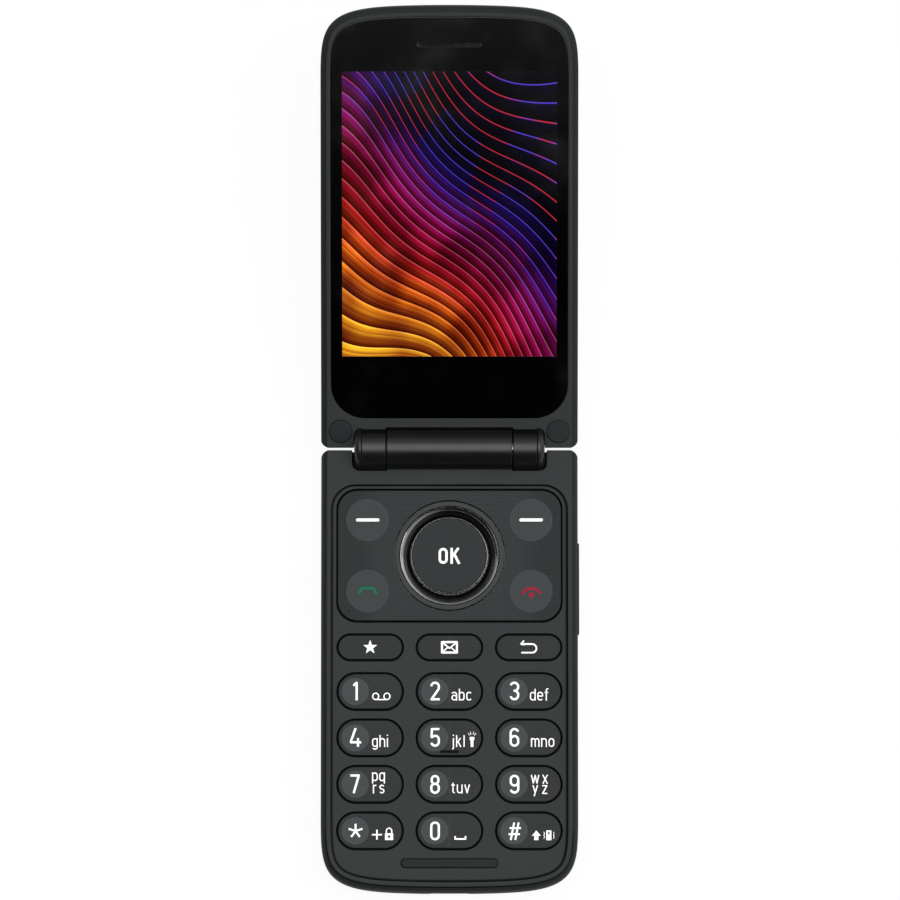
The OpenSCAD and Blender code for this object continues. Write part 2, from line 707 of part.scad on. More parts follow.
module usb_socket() in_base() translate([0, usb_front, -board_low - usb_t / 2]) rotate([90, 0, 0]) {
    color([0.7, 0.71, 0.72]) difference() {
        linear_extrude(usb_len) pill(usb_w, usb_t);
        translate([0, 0, -1]) linear_extrude(usb_len) pill(usb_w - 0.6, usb_t - 0.6);
    }
    color([0.08, 0.08, 0.08]) translate([0, 0, 0.8]) linear_extrude(usb_len - 0.8)
        square([usb_w - 2.4, usb_t - 2.5], center = true);
}

module antenna_carrier() color([0.3, 0.3, 0.32]) in_base() intersection() {
    difference() {
        leaf_prism(cavity_inset + fit_gap, lip_low + fit_gap, board_low, cavity_v);
        leaf_prism(cavity_inset + 1.1, lip_low, board_low + 1, cavity_v);
        screw_places() plate(0, base_t) circle(boss_r + 0.2);
    }
    translate([-half_w, leaf_len - antenna_w, -base_t]) cube([body_w, antenna_w, base_t]);
}

module side_key_switch() in_base() translate([half_w - 2.85, side_key_v, -side_key_d]) {
    color([0.1, 0.3, 0.2]) translate([0, -side_key_len / 2, -side_key_h / 2])
        cube([0.6, side_key_len, side_key_h]);
    color([0.8, 0.8, 0.8]) for (s = [-1, 1]) translate([0.6 - eps, s * side_key_len / 3, 0])
        rotate([0, 90, 0]) cylinder(r = 0.9, h = 0.25);
}

module base_bumper_bar() color([0.13, 0.13, 0.13]) in_base() at([0, bar_v])
    plate(recess - key_proud, recess + 0.6) pill(bar_w, bar_h);

module base_screws() color([0.5, 0.5, 0.52]) in_base() screw_places() {
    translate([0, 0, -cover_top]) cylinder(r = 0.65, h = cover_top - plate_low - 0.6);
    difference() {
        translate([0, 0, 0.05 - cover_top]) cylinder(r = screw_head_r, h = 0.9);
        translate([0, 0, -cover_top]) cylinder(r = 0.6, h = 0.5, $fn = 6);
    }
}

// Keys

// Key top with a broken edge: one section, turned at both ends and straight between them
module key_crown(w, h, top, low) {
    edge = 0.25;
    side = [[h / 2, -low], [h / 2, -top - edge], [h / 2 - edge, -top]];
    for (s = [-1, 1]) translate([s * (w - h) / 2, 0, 0])
        rotate_extrude() polygon(concat([[0, -low]], side, [[0, -top]]));
    rotate([90, 0, 90]) translate([0, 0, (h - w) / 2]) linear_extrude(w - h)
        polygon(concat(side, [for (i = [2 : -1 : 0]) [-side[i][0], side[i][1]]]));
}

module pill_key(col, v, h) color(KEY_GREY) in_base() at([col * col_pitch, v]) {
    key_crown(key_w, h, recess - key_proud, plate_low);
    plate(plate_low - eps, plate_low + fit_gap + eps) pill(key_w, h);
    plate(plate_low + fit_gap, key_low) pill(key_w + 2 * flange_out, h + 2 * flange_out);
}

module number_key(col, row) pill_key(col, row_v + row * row_pitch, key_h);

module nav_plate() color(KEY_GREY) in_base() at([0, nav_v]) difference() {
    union() {
        plate(recess - key_proud, plate_low + fit_gap + eps) rounded_square(nav_w, nav_h, nav_corner);
        plate(plate_low + fit_gap, key_low)
            rounded_square(nav_w + 1, nav_h + 1, nav_corner + 0.5);
    }
    translate([0, 0, -key_low - 1]) cylinder(r = ring_r + key_gap, h = key_low + 1, $fn = 96);
}

nav_top = recess - key_proud - 0.12;

// The ring's section, turned about its middle
module nav_ring() color(GREY) in_base() at([0, nav_v]) rotate_extrude($fn = 96)
    polygon([[ok_r + key_gap, -key_low], [ring_r, -key_low], [ring_r, -nav_top - 0.12],
        [ring_r - 0.12, -nav_top], [ring_r - 1.0, -nav_top], [ring_r - 2.0, -nav_top - 0.75],
        [ring_r - 2.0, -plate_low], [ok_r + key_gap, -plate_low]]);

// Glossy dish inside the ring, falling towards the OK key
module nav_ring_inset() color([0.03, 0.03, 0.03]) in_base() at([0, nav_v]) rotate_extrude($fn = 96)
    polygon(concat([[ok_r + key_gap, -plate_low], [ring_r - 2.0, -plate_low],
        [ring_r - 2.0, -nav_top - 0.75]],
        [for (i = [1 : 5]) let (u = i / 5)
            [ring_r - 2.0 - u * (ring_r - 2.0 - ok_r - key_gap), -nav_top - 0.75 - 0.22 * sin(90 * u)]]));

module ok_key() color(KEY_GREY) in_base() at([0, nav_v]) rotate_extrude($fn = 96)
    polygon([[0, -key_low], [ok_r, -key_low], [ok_r, -nav_top - 0.3], [ok_r - 0.25, -nav_top - 0.05],
        [0, -nav_top - 0.05]]);

module volume_key() color(SIDE_GREY) in_base() translate([half_w, side_key_v, -side_key_d]) {
    // Outer bar with round ends, then the tongue that keeps it in the wall
    translate([side_key_proud, 0, 0]) rotate([0, -90, 0]) rotate([0, 0, 90])
        linear_extrude(side_key_proud + side_lip + 0.1) pill(side_key_len, side_key_h);
    translate([-side_lip - 0.65, -2.4, -side_key_h / 2 - 0.4]) cube([0.55, 4.8, side_key_h + 0.8]);
}

// Screen half: mouldings

module window_shape(gap) polygon(leaf_outline(rim_inset + gap, window_v + gap, window_corner - gap));

module lid_inner_frame() color(GREY) in_lid() difference() {
    union() {
        difference() {
            union() {
                loft(frame_edge(lid_parting));
                leaf_prism(lip_inset, lid_parting - eps, lid_plate_low, leaf_v0 + 0.6);
            }
            both_sides() round_end(0, knuckle_end + fit_gap, barrel_r + fit_gap, knuckle_round);
            on_axis(-knuckle_x) cylinder(r = barrel_r + turn_gap, h = 2 * knuckle_x);
        }
        both_sides() {
            barrel_block(knuckle_x, knuckle_end - cap_w, barrel_r);
            at(bumper_at) plate(lid_parting, 2.6) circle(2.2);
        }
    }
    plate(-1, window_low) window_shape(0);
    // Openings for the screen and for the earpiece
    at([0, screen_v + (panel_side - panel_foot) / 2])
        slab(panel_size + [0.3, 0.3], 0, lid_plate_low + 1);
    at([0, slot_v]) slab([slot_w + 1.5, earpiece_h + 0.3], 0, lid_plate_low + 1);
    // Bores: the keyed socket of the click hinge on the right, the hollow pin on the left
    on_axis(knuckle_x - 1) linear_extrude(knuckle_w - cap_w + 2) keyed(run_gap);
    on_axis(-knuckle_end) cylinder(r = sleeve_r + 0.01, h = knuckle_w + 1);
    flex_slot(lid_flex_x[0] - 0.2, lid_flex_x[1] + 0.2, lid_board_top);
    both_sides() at(bumper_at) {
        translate([0, 0, -0.5]) cylinder(r = bumper_r + 0.05, h = 1);
        translate([0, 0, -1.4]) cylinder(r = screw_head_r + 0.1, h = 1.4);
        translate([0, 0, -4]) cylinder(r = 0.8, h = 4);
    }
}

module lid_outer_shell() color(SIDE_GREY) in_lid() difference() {
    lid_body();
    leaf_prism(cavity_inset, 0, lid_t - wall, cavity_v, 1.5);
    leaf_prism(lip_inset - fit_gap, 0, lid_plate_low + fit_gap, leaf_v0 + 0.5);
    // Hinge: the middle barrel turns here, and the outer barrels' blocks sit here
    on_axis(-knuckle_x) cylinder(r = barrel_r + turn_gap, h = 2 * knuckle_x);
    both_sides() {
        barrel_block(knuckle_x - fit_gap, knuckle_end + fit_gap, barrel_r + fit_gap);
        at(bumper_at) plate(0, 2.7) circle(2.3);
        at(bumper_at, lid_screw_low + 0.6) cylinder(r = 0.6, h = lid_screw_low - 1.4);
    }
    flex_slot(lid_flex_x[0] - 0.2, lid_flex_x[1] + 0.2, lid_board_top);
    // Seats and openings of the outer window, the camera's glass and the torch
    at([0, outer_v]) {
        plate(outer_seat, lid_t + 1) rounded_square(outer_w + 0.1, outer_h + 0.1, 3);
        plate(0, lid_t + 1) rounded_square(outer_w - 2, outer_h - 2, 2);
    }
    at([-camera_x, camera_v], lid_t + 1) cylinder(r = camera_r + 0.05, h = 1 + window_t);
    at([-camera_x, camera_v], lid_t) cylinder(r = 3, h = lid_t);
    at([camera_x, camera_v], lid_t + 1) cylinder(r = torch_r + 0.05, h = 1 + window_t);
    at([camera_x, camera_v], lid_t) cylinder(r = 1.2, h = lid_t);
}

module display_window() color([0.03, 0.03, 0.03]) in_lid() difference() {
    plate(window_low - window_t, window_low) window_shape(0.06);
    at([0, slot_v]) plate(-1, lid_t) pill(slot_w, slot_h);
}

module display_panel() in_lid() at([0, screen_v]) {
    color([0.6, 0.1, 0.3]) slab([screen_w, screen_h], panel_top, panel_top + 0.3);
    color([0.5, 0.5, 0.52]) at([0, (panel_side - panel_foot) / 2])
        slab(panel_size, panel_top + 0.3 - eps, panel_low);
}

module lid_carrier() color([0.2, 0.2, 0.21]) in_lid() difference() {
    leaf_prism(cavity_inset + 0.3, carrier_top, carrier_low, cavity_v + 3.5, 1.5);
    at([0, slot_v]) slab([slot_w + 1.6, earpiece_h + 0.4], 0, lid_t);
    both_sides() at([camera_x, camera_v]) slab([camera_w + 0.6, camera_w + 0.6], 0, lid_t);
    for (i = [-1 : 1]) at([0, screen_v + i * screen_h / 3]) plate(carrier_top + 0.6, lid_t)
        rounded_square(screen_w - 6.6, screen_h / 3 - 3.6, 2);
}

module lid_board() in_lid() {
    color([0.1, 0.3, 0.2]) difference() {
        leaf_prism(cavity_inset + 1, lid_board_top, lid_board_low, cavity_v + 0.5, 1.5);
        at([-camera_x, camera_v]) slab([camera_w + 0.6, camera_w + 0.6], 0, lid_t);
        at([0, slot_v]) slab([slot_w + 2, earpiece_h + 1], 0, lid_t);
    }
    color([0.75, 0.5, 0.15]) flex_strip(lid_flex_x[0], lid_flex_x[1], lid_board_top);
}

module earpiece() color([0.15, 0.15, 0.15]) in_lid() at([0, slot_v]) difference() {
    slab([slot_w + 1, earpiece_h], window_low, window_low + earpiece_t);
    plate(window_low - 1, window_low + 0.4) pill(slot_w - 0.5, slot_h + 0.5);
}

module outer_window() color([0.03, 0.03, 0.03]) in_lid() at([0, outer_v])
    plate(outer_seat, lid_t) rounded_square(outer_w, outer_h, 2.95);

module outer_display() color([0.3, 0.32, 0.34]) in_lid() at([0, outer_v])
    plate(outer_panel_top, outer_seat - 0.05) rounded_square(outer_w - 2.4, outer_h - 2.4, 1.9);

module camera_module() in_lid() at([-camera_x, camera_v]) {
    color([0.1, 0.1, 0.1]) slab([camera_w, camera_w], carrier_top, lid_t - wall - 0.4);
    color([0.2, 0.2, 0.22]) translate([0, 0, -outer_seat + 0.05]) difference() {
        cylinder(r = 2.8, h = 1.2);
        translate([0, 0, -eps]) cylinder(r1 = 1.6, r2 = 0.9, h = 0.5);
    }
}

module camera_lens() color([0.05, 0.05, 0.06]) in_lid()
    at([-camera_x, camera_v], lid_t) cylinder(r = camera_r, h = window_t);

module torch_lens() in_lid() at([camera_x, camera_v]) {
    color([0.9, 0.9, 0.8]) translate([0, 0, -lid_t]) cylinder(r = torch_r, h = window_t);
    color([0.9, 0.9, 0.6]) slab([1.6, 1.6], lid_board_low, outer_seat);
}

module lid_bumpers() color([0.17, 0.18, 0.18]) in_lid() both_sides() at(bumper_at, 0.5) {
    cylinder(r = bumper_r, h = 0.5 + bumper_h - 0.15);
    cylinder(r = bumper_r - 0.25, h = 0.5 + bumper_h);
}

module lid_screws() color([0.5, 0.5, 0.52]) in_lid() both_sides() at(bumper_at) {
    translate([0, 0, -1.4]) cylinder(r = screw_head_r, h = 0.8);
    translate([0, 0, -lid_screw_low]) cylinder(r = 0.55, h = lid_screw_low - 1.3);
}

module lid_magnet() color([0.7, 0.7, 0.72]) in_lid()
    at([half_w - 10, slot_v]) slab([4, 2], lid_plate_low + 0.05, carrier_top - 0.05);

// Click hinge on the right: can, spring, sliding cam and turning cam on its rod

rod_r = 0.9;
cam_r = case_r - 0.4;
cam_t = 1.2;
lobe_h = 0.5;
case_end = barrel_half - 0.05;
case_start = case_from;
case_len = case_end - case_from;

module hinge_case() color([0.7, 0.7, 0.72]) in_base() on_axis(case_start) difference() {
    cylinder(r = case_r, h = case_len);
    translate([0, 0, 1]) cylinder(r = case_r - 0.3, h = case_len);
    translate([0, 0, -1]) cylinder(r = rod_r + run_gap, h = 3);
}

// A cam's two lobes: wedges of a tube, opposite each other
module lobes(r, h, inner) for (a = [0, 180]) rotate(a)
    intersection() {
        difference() {
            cylinder(r = r, h = h);
            translate([0, 0, -1]) cylinder(r = inner, h = h + 2);
        }
        translate([0, 0, 0]) linear_extrude(h) polygon([[0, 0], [2 * r, -r * 0.7], [2 * r, r * 0.7]]);
    }

module hinge_shaft() color([0.75, 0.75, 0.77]) in_lid() {
    // Rod, turning cam with its lobes, then the flatted boss in the outer barrel
    on_axis(case_start - 0.6) cylinder(r = rod_r, h = case_len + 1);
    on_axis(case_start - 0.6) cylinder(r = 1.5, h = 0.5);
    on_axis(case_end - 1.4) cylinder(r = cam_r, h = 1.4);
    on_axis(case_end - 1.4) mirror([0, 0, 1]) lobes(cam_r, lobe_h, rod_r + 0.3);
    on_axis(case_end - eps) cylinder(r = 1.9, h = 1);
    on_axis(knuckle_x + 0.05) linear_extrude(knuckle_w - cap_w - 0.4) keyed(0);
}

follower_x = case_end - 1.4 - 2 * lobe_h - 0.15 - cam_t;

module hinge_follower() color([0.65, 0.6, 0.5]) in_base() difference() {
    union() {
        on_axis(follower_x) cylinder(r = cam_r, h = cam_t);
        on_axis(follower_x + cam_t - eps) rotate(90) lobes(cam_r, lobe_h, rod_r + 0.3);
    }
    on_axis(follower_x - 1) cylinder(r = rod_r + run_gap, h = cam_t + 3);
}

// Compression spring wound round the rod
module hinge_spring() {
    wire_r = 0.3;
    coil_r = 1.85;
    turns = 6;
    steps = 16;
    sides = 6;
    x0 = case_start + 1 + wire_r + 0.02;
    x1 = follower_x - wire_r - 0.02;
    count = turns * steps;
    function on_coil(i) = let (a = 360 * i / steps)
        [x0 + (x1 - x0) * i / count, coil_r * cos(a), coil_r * sin(a)];
    points = [for (i = [0 : count], k = [0 : sides - 1])
        let (a = 360 * i / steps, b = 360 * k / sides, c = on_coil(i), r = coil_r + wire_r * cos(b))
        [c[0] + wire_r * sin(b), r * cos(a), r * sin(a)]];
    sides_faces = [for (i = [0 : count - 1], k = [0 : sides - 1]) let (n = (k + 1) % sides)
        each [[i * sides + k, (i + 1) * sides + k, (i + 1) * sides + n],
            [i * sides + k, (i + 1) * sides + n, i * sides + n]]];
    first = [for (k = [0 : sides - 1]) k];
    end = [for (k = [sides - 1 : -1 : 0]) count * sides + k];
    color([0.75, 0.75, 0.77]) in_base() translate([0, 0, face_to_axis])
        polyhedron(points, concat([first, end], sides_faces));
}

module hinge_sleeve() color([0.8, 0.7, 0.4]) in_lid() on_axis(sleeve_x[0]) difference() {
    cylinder(r = sleeve_r, h = sleeve_x[1] - sleeve_x[0]);
    translate([0, 0, -1]) cylinder(r = sleeve_r - 0.6, h = knuckle_end);
}

module hinge_flex() color([0.75, 0.5, 0.15]) in_base() {
    flex_strip(flex_x[0], flex_x[1], foil_top);
    on_axis(lid_flex_x[1] + 0.25) difference() {
        cylinder(r = 1.6, h = flex_x[0] - lid_flex_x[1] - 0.2);
        translate([0, 0, -1]) cylinder(r = 1.44, h = knuckle_end);
    }
}

module hinge_caps() color(GREY) in_lid() both_sides()
    round_end(knuckle_end - cap_w + 0.03, knuckle_end, barrel_r, knuckle_round);

base_front_frame();
base_rear_shell();
battery_cover();
battery_pack();
battery_terminals();
sim_holder();
main_board();
shield_cans();
dome_sheet();
keypad_mat();
loudspeaker();
vibration_motor();
microphone();
usb_socket();
antenna_carrier();
side_key_switch();
base_bumper_bar();
base_screws();
nav_plate();
nav_ring();
nav_ring_inset();
ok_key();
pill_key(-1, slim_v, slim_h);  // star_key
pill_key(0, slim_v, slim_h);  // message_key
pill_key(1, slim_v, slim_h);  // back_key
number_key(-1, 0);  // key_1
number_key(0, 0);  // key_2
number_key(1, 0);  // key_3
number_key(-1, 1);  // key_4
number_key(0, 1);  // key_5
number_key(1, 1);  // key_6
number_key(-1, 2);  // key_7
number_key(0, 2);  // key_8
number_key(1, 2);  // key_9
number_key(-1, 3);  // key_asterisk
number_key(0, 3);  // key_0
number_key(1, 3);  // key_hash
volume_key();
lid_inner_frame();
lid_outer_shell();
display_window();
display_panel();
lid_carrier();
lid_board();
earpiece();
outer_window();
outer_display();
camera_module();
camera_lens();
torch_lens();
lid_bumpers();
lid_screws();
lid_magnet();
hinge_case();
hinge_spring();
hinge_follower();
hinge_shaft();
hinge_sleeve();
hinge_flex();
hinge_caps();
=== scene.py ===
"""Looks of the flip phone: shells, keypad, hinge, screens and finishes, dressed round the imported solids.

Every piece is drawn in leaf measures, in millimetres: x across, v away from the hinge axis and z up
out of the inner face, so a depth d below the face is z = -d. Leaf.put turns that into the row frame.
"""

import logging
import math
from collections.abc import Callable, Iterable, Sequence
from dataclasses import dataclass, field
from enum import Enum

import bpy
import numpy as np
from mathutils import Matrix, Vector
from mathutils.geometry import delaunay_2d_cdt


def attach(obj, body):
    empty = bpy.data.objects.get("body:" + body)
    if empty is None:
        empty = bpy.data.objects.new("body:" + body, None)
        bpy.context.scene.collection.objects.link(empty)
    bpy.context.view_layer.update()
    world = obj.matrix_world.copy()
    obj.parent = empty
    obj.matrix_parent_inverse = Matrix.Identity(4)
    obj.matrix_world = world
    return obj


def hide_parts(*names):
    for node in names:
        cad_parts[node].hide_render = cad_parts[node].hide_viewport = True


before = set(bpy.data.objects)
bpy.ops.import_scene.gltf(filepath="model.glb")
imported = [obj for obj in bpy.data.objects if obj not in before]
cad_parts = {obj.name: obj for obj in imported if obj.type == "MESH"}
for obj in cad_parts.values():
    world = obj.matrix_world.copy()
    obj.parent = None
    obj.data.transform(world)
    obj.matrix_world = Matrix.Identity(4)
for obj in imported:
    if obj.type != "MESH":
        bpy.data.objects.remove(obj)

LOG = logging.getLogger("flip_phone")
MM = 0.001
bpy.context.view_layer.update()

Point = tuple[float, float]
Level = tuple[float, float, float, float]  # depth, inset, start v and corner radius of an outline


class Half(Enum):
    """The two halves of the phone."""

    BASE = "base"
    LID = "lid"


@dataclass(frozen=True)
class Leaf:
    """Measures that both halves share, and the way from leaf measures to the row frame.

    half_w and leaf_len give the outline, corner_power and corner_depth its far corners, end_rise the
    arc across the far end, and the rest the hinge axis and the lid's angle.
    """

    half_w: float = 29.0
    leaf_len: float = 100.165
    corner_power: float = 5.6
    corner_depth: float = 21.0
    end_rise: float = 1.05
    hinge_corner_r: float = 1.4
    parting_inset: float = 1.3
    rim_inset: float = 2.25
    lip_inset: float = 2.05
    cavity_inset: float = 2.15
    cavity_v: float = 8.5
    leaf_v0: float = 0.225
    base_t: float = 10.5
    lid_t: float = 7.6
    face_to_axis: float = 0.25
    axis_y: float = 50.2125
    lift_deg: float = 15.0
    corner_points: int = 64

    def end_curve(self, inset: float) -> list[Point]:
        """Gives the right half of the far end, from the side to the middle, moved in by inset.

        Args:
            inset: Distance square to the outline, in millimetres.

        Returns:
            Points at even steps along the curve.
        """
        crowding, samples = 2.4, 6000
        t = 90.0 - 90.0 * np.linspace(0.0, 1.0, samples) ** crowding
        c = np.abs(np.cos(np.radians(t))) ** (2 / self.corner_power)
        s = np.abs(np.sin(np.radians(t))) ** (2 / self.corner_power)
        x = self.half_w * s
        v = self.leaf_len - self.end_rise * s * s - self.corner_depth * (1 - c)
        walked = np.concatenate([[0.0], np.cumsum(np.hypot(np.diff(x), np.diff(v)))])
        even = np.linspace(0.0, walked[-1], self.corner_points + 1)
        x, v = np.interp(even, walked, x), np.interp(even, walked, v)
        dx, dv = np.gradient(x), np.gradient(v)
        dx[0], dx[-1], dv[-1] = 0.0, -1.0, 0.0
        size = np.hypot(dx, dv)
        x, v = x - inset * dv / size, v + inset * dx / size
        x[-1] = 0.0
        return [(float(a), float(b)) for a, b in zip(x, v)]

    def outline(self, inset: float, v0: float, r: float) -> list[Point]:
        """Gives the closed outline of a leaf at an inset, cut off at v0 with corner radius r.

        Args:
            inset: Distance inside the widest outline.
            v0: Distance from the hinge axis at which the outline is cut off.
            r: Corner radius at that end.

        Returns:
            Points anticlockwise, seen from the face.
        """
        w = self.half_w - inset
        side = [(w - r + r * math.cos(a), v0 + r + r * math.sin(a)) for a in sweep(-90, 0, 10)]
        straight = [(w, v0 + r + (self.end_curve(inset)[0][1] - v0 - r) * i / 6) for i in range(1, 6)]
        side += straight + self.end_curve(inset)
        return side + [(-x, v) for x, v in reversed(side[:-1])]

    def hinge_corner(self, inset: float) -> float:
        """Corner radius in plan beside the hinge, at an inset."""
        return max(0.2, self.hinge_corner_r - inset)

    def put(self, points: np.ndarray, half: Half) -> np.ndarray:
        """Turns leaf points in millimetres into the row frame, in metres.

        Args:
            points: An array of x, v, z rows.
            half: The half that the points belong to.

        Returns:
            An array of x, y, z rows.
        """
        x, v, z = points[:, 0], points[:, 1], points[:, 2]
        if half is Half.BASE:
            return np.stack([x, self.axis_y - v, self.base_t + z], axis=1) * MM
        cos, sin = math.cos(math.radians(self.lift_deg)), math.sin(math.radians(self.lift_deg))
        h = z - self.face_to_axis
        y = self.axis_y + v * cos - h * sin
        up = self.base_t + self.face_to_axis + v * sin + h * cos
        return np.stack([x, y, up], axis=1) * MM


LEAF = Leaf()


def sweep(start: float, end: float, steps: int) -> list[float]:
    """Gives steps + 1 angles in radians from start to end, which are in degrees."""
    return [math.radians(start + (end - start) * i / steps) for i in range(steps + 1)]


def arc(cx: float, cy: float, rx: float, ry: float, start: float, end: float,
        steps: int = 12) -> list[Point]:
    """Gives points along an elliptical arc about a middle, from one angle in degrees to another."""
    return [(cx + rx * math.cos(a), cy + ry * math.sin(a)) for a in sweep(start, end, steps)]


def rounded_rect(w: float, h: float, r: float, steps: int = 16) -> list[Point]:
    """Gives a rectangle with round corners about the origin, anticlockwise; steps are for each corner."""
    out: list[Point] = []
    for k, (sx, sy) in enumerate([(1, -1), (1, 1), (-1, 1), (-1, -1)]):
        out += arc(sx * (w / 2 - r), sy * (h / 2 - r), r, r, 90 * k - 90, 90 * k, steps)
    return tidy(out)


def pill(w: float, h: float, steps: int = 24) -> list[Point]:
    """Gives a bar with round ends about the origin."""
    return rounded_rect(w, h, h / 2 - 1e-4, steps)


def disc(r: float, steps: int = 64) -> list[Point]:
    """Gives a circle about the origin."""
    return arc(0, 0, r, r, 0, 360 - 360 / steps, steps - 1)


def tidy(points: Iterable[Point]) -> list[Point]:
    """Drops points that repeat the one before."""
    out: list[Point] = []
    for p in points:
        if not out or math.dist(p, out[-1]) > 1e-5:
            out.append(p)
    while len(out) > 1 and math.dist(out[0], out[-1]) < 1e-5:
        out.pop()
    return out


def shifted(points: Iterable[Point], at: Point) -> list[Point]:
    """Moves an outline by a point."""
    return [(x + at[0], y + at[1]) for x, y in points]


def inset_loop(points: Sequence[Point], by: float) -> list[Point]:
    """Moves a smooth closed outline square to itself, inwards.

    Args:
        points: Outline, anticlockwise.
        by: Distance inwards.

    Returns:
        As many points as came in.
    """
    p = np.array(points, float)
    before, after = np.roll(p, 1, axis=0), np.roll(p, -1, axis=0)
    a, b = p - before, after - p
    a /= np.linalg.norm(a, axis=1)[:, None]
    b /= np.linalg.norm(b, axis=1)[:, None]
    along = a + b
    along /= np.linalg.norm(along, axis=1)[:, None]
    normal = np.stack([-along[:, 1], along[:, 0]], axis=1)
    mitre = 1.0 / np.maximum(0.5, np.abs((a * along).sum(axis=1)))
    q = p + normal * (by * mitre)[:, None]
    return [(float(x), float(y)) for x, y in q]


@dataclass
class Solid:
    """A mesh in the making: points in millimetres and faces, which come one part after another."""

    points: list[tuple[float, float, float]] = field(default_factory=list)
    faces: list[tuple[int, ...]] = field(default_factory=list)

    def add(self, points: Iterable[Sequence[float]], faces: Iterable[Sequence[int]]) -> "Solid":
        """Adds a part's points and faces."""
        start = len(self.points)
        self.points += [(float(p[0]), float(p[1]), float(p[2])) for p in points]
        self.faces += [tuple(start + i for i in f) for f in faces]
        return self

    def join(self, other: "Solid") -> "Solid":
        """Adds all of another solid."""
        return self.add(other.points, other.faces)

    def moved(self, dx: float = 0.0, dv: float = 0.0, dz: float = 0.0) -> "Solid":
        """Gives a copy moved by three distances."""
        return Solid([(x + dx, v + dv, z + dz) for x, v, z in self.points], list(self.faces))

    def flipped(self) -> "Solid":
        """Gives the mirror image across the middle, with its faces still outwards."""
        return Solid([(-x, v, z) for x, v, z in self.points], [tuple(reversed(f)) for f in self.faces])


def stack(rings: Sequence[Sequence[Sequence[float]]]) -> Solid:
    """Makes a closed solid through rings that have as many points each, from the top ring down.

    Args:
        rings: Rings of x, v, z points, anticlockwise seen from above.

    Returns:
        The solid, with a flat face on its first and last ring.
    """
    n = len(rings[0])
    faces: list[Sequence[int]] = [tuple(range(n)),
                                  tuple(reversed(range((len(rings) - 1) * n, len(rings) * n)))]
    for j in range(len(rings) - 1):
        for i in range(n):
            k = (i + 1) % n
            faces.append((j * n + k, j * n + i, (j + 1) * n + i, (j + 1) * n + k))
    return Solid().add([p for ring in rings for p in ring], faces)


def layered(outlines: Iterable[tuple[float, Iterable[Point]]]) -> Solid:
    """Makes a closed solid through outlines at depths, from the top one down."""
    return stack([[(x, v, -depth) for x, v in outline] for depth, outline in outlines])


def loft(levels: Sequence[Level]) -> Solid:
    """Makes a solid through leaf outlines; each level is depth, inset, v0 and corner radius."""
    return layered((d, LEAF.outline(i, v0, r)) for d, i, v0, r in levels)


def prism(outline: Sequence[Point], top: float, low: float) -> Solid:
    """Makes an outline solid between two depths."""
    return layered([(top, outline), (low, outline)])


def quarter(depth: float, inset: float, steps: int = 6) -> list[Point]:
    """Gives depths and insets of a rounded edge, from the face down to the wall."""
    return [(depth * (1 - math.sin(a)), inset * (1 - math.cos(a))) for a in sweep(90, 0, steps)]


def turned_edge(r: float, end: float, by: float, steps: int) -> list[Point]:
    """Gives radius and place along the rounded edge of a turned section, from its side to its end face.

    Args:
        r: Radius of the side.
        end: Place of the end face.
        by: Rounding, less than 0 where the section lies past the end.
        steps: Steps in the rounding.

    Returns:
        The points in order.
    """
    return [(r - abs(by) * (1 - math.cos(a)), end - by * (1 - math.sin(a))) for a in sweep(0, 90, steps)]


def crowned(outline: Sequence[Point], top: float, low: float, edge: float, steps: int = 4) -> Solid:
    """Makes an outline solid between two depths, with its top edge rounded by edge."""
    rings = [(top + d, inset_loop(outline, i)) for d, i in quarter(edge, edge, steps)]
    return layered([*rings, (low, outline)])


def revolved(profile: Sequence[Point], centre: Point = (0.0, 0.0), steps: int = 128) -> Solid:
    """Turns a closed section of radius and z about an upright line.

    Args:
        profile: Points of radius and z, anticlockwise with radius to the right.
        centre: Place of the line, in x and v.
        steps: Steps round the turn.

    Returns:
        The solid; points on the line are joined.
    """
    n = len(profile)
    ring = [(centre[0] + r * math.cos(a), centre[1] + r * math.sin(a), z)
            for a in sweep(0, 360 - 360 / steps, steps - 1) for r, z in profile]
    faces: list[tuple[int, ...]] = []
    for j in range(steps):
        nxt = (j + 1) % steps
        for i in range(n):
            k = (i + 1) % n
            if profile[i][0] < 1e-9 and profile[k][0] < 1e-9:
                continue
            quad = (j * n + i, nxt * n + i, nxt * n + k, j * n + k)
            faces.append(quad if profile[i][0] > 1e-9 else (j * n + i, nxt * n + k, j * n + k))
            if profile[i][0] > 1e-9 and profile[k][0] < 1e-9:
                faces[-1] = (j * n + i, nxt * n + i, j * n + k)
    merged: dict[int, int] = {j * n + i: i for j in range(steps) for i in range(n) if profile[i][0] < 1e-9}
    return Solid().add(ring, [tuple(merged.get(i, i) for i in f) for f in faces])


def turned(profile: Sequence[Point], steps: int = 96) -> Solid:
    """Turns a closed section of radius and x about the hinge axis."""
    upright = revolved(profile, steps=steps)
    a = LEAF.face_to_axis
    return Solid([(z, y, a - x) for x, y, z in upright.points], upright.faces)


def rod(r: float, x0: float, x1: float, steps: int = 96) -> Solid:
    """Makes a round rod on the hinge axis between two places across."""
    return turned([(0.0, x0), (r, x0), (r, x1), (0.0, x1)], steps)


def box(x0: float, x1: float, v0: float, v1: float, top: float, low: float) -> Solid:
    """Makes a block between two places across, along and in depth."""
    return prism([(x0, v0), (x1, v0), (x1, v1), (x0, v1)], top, low)


def block(at: Point, size: Point, top: float, low: float, grow: float = 0.0) -> Solid:
    """Makes a block about a place, larger than its size by grow on every side."""
    (x, v), (w, h) = at, size
    return box(x - w / 2 - grow, x + w / 2 + grow, v - h / 2 - grow, v + h / 2 + grow, top, low)


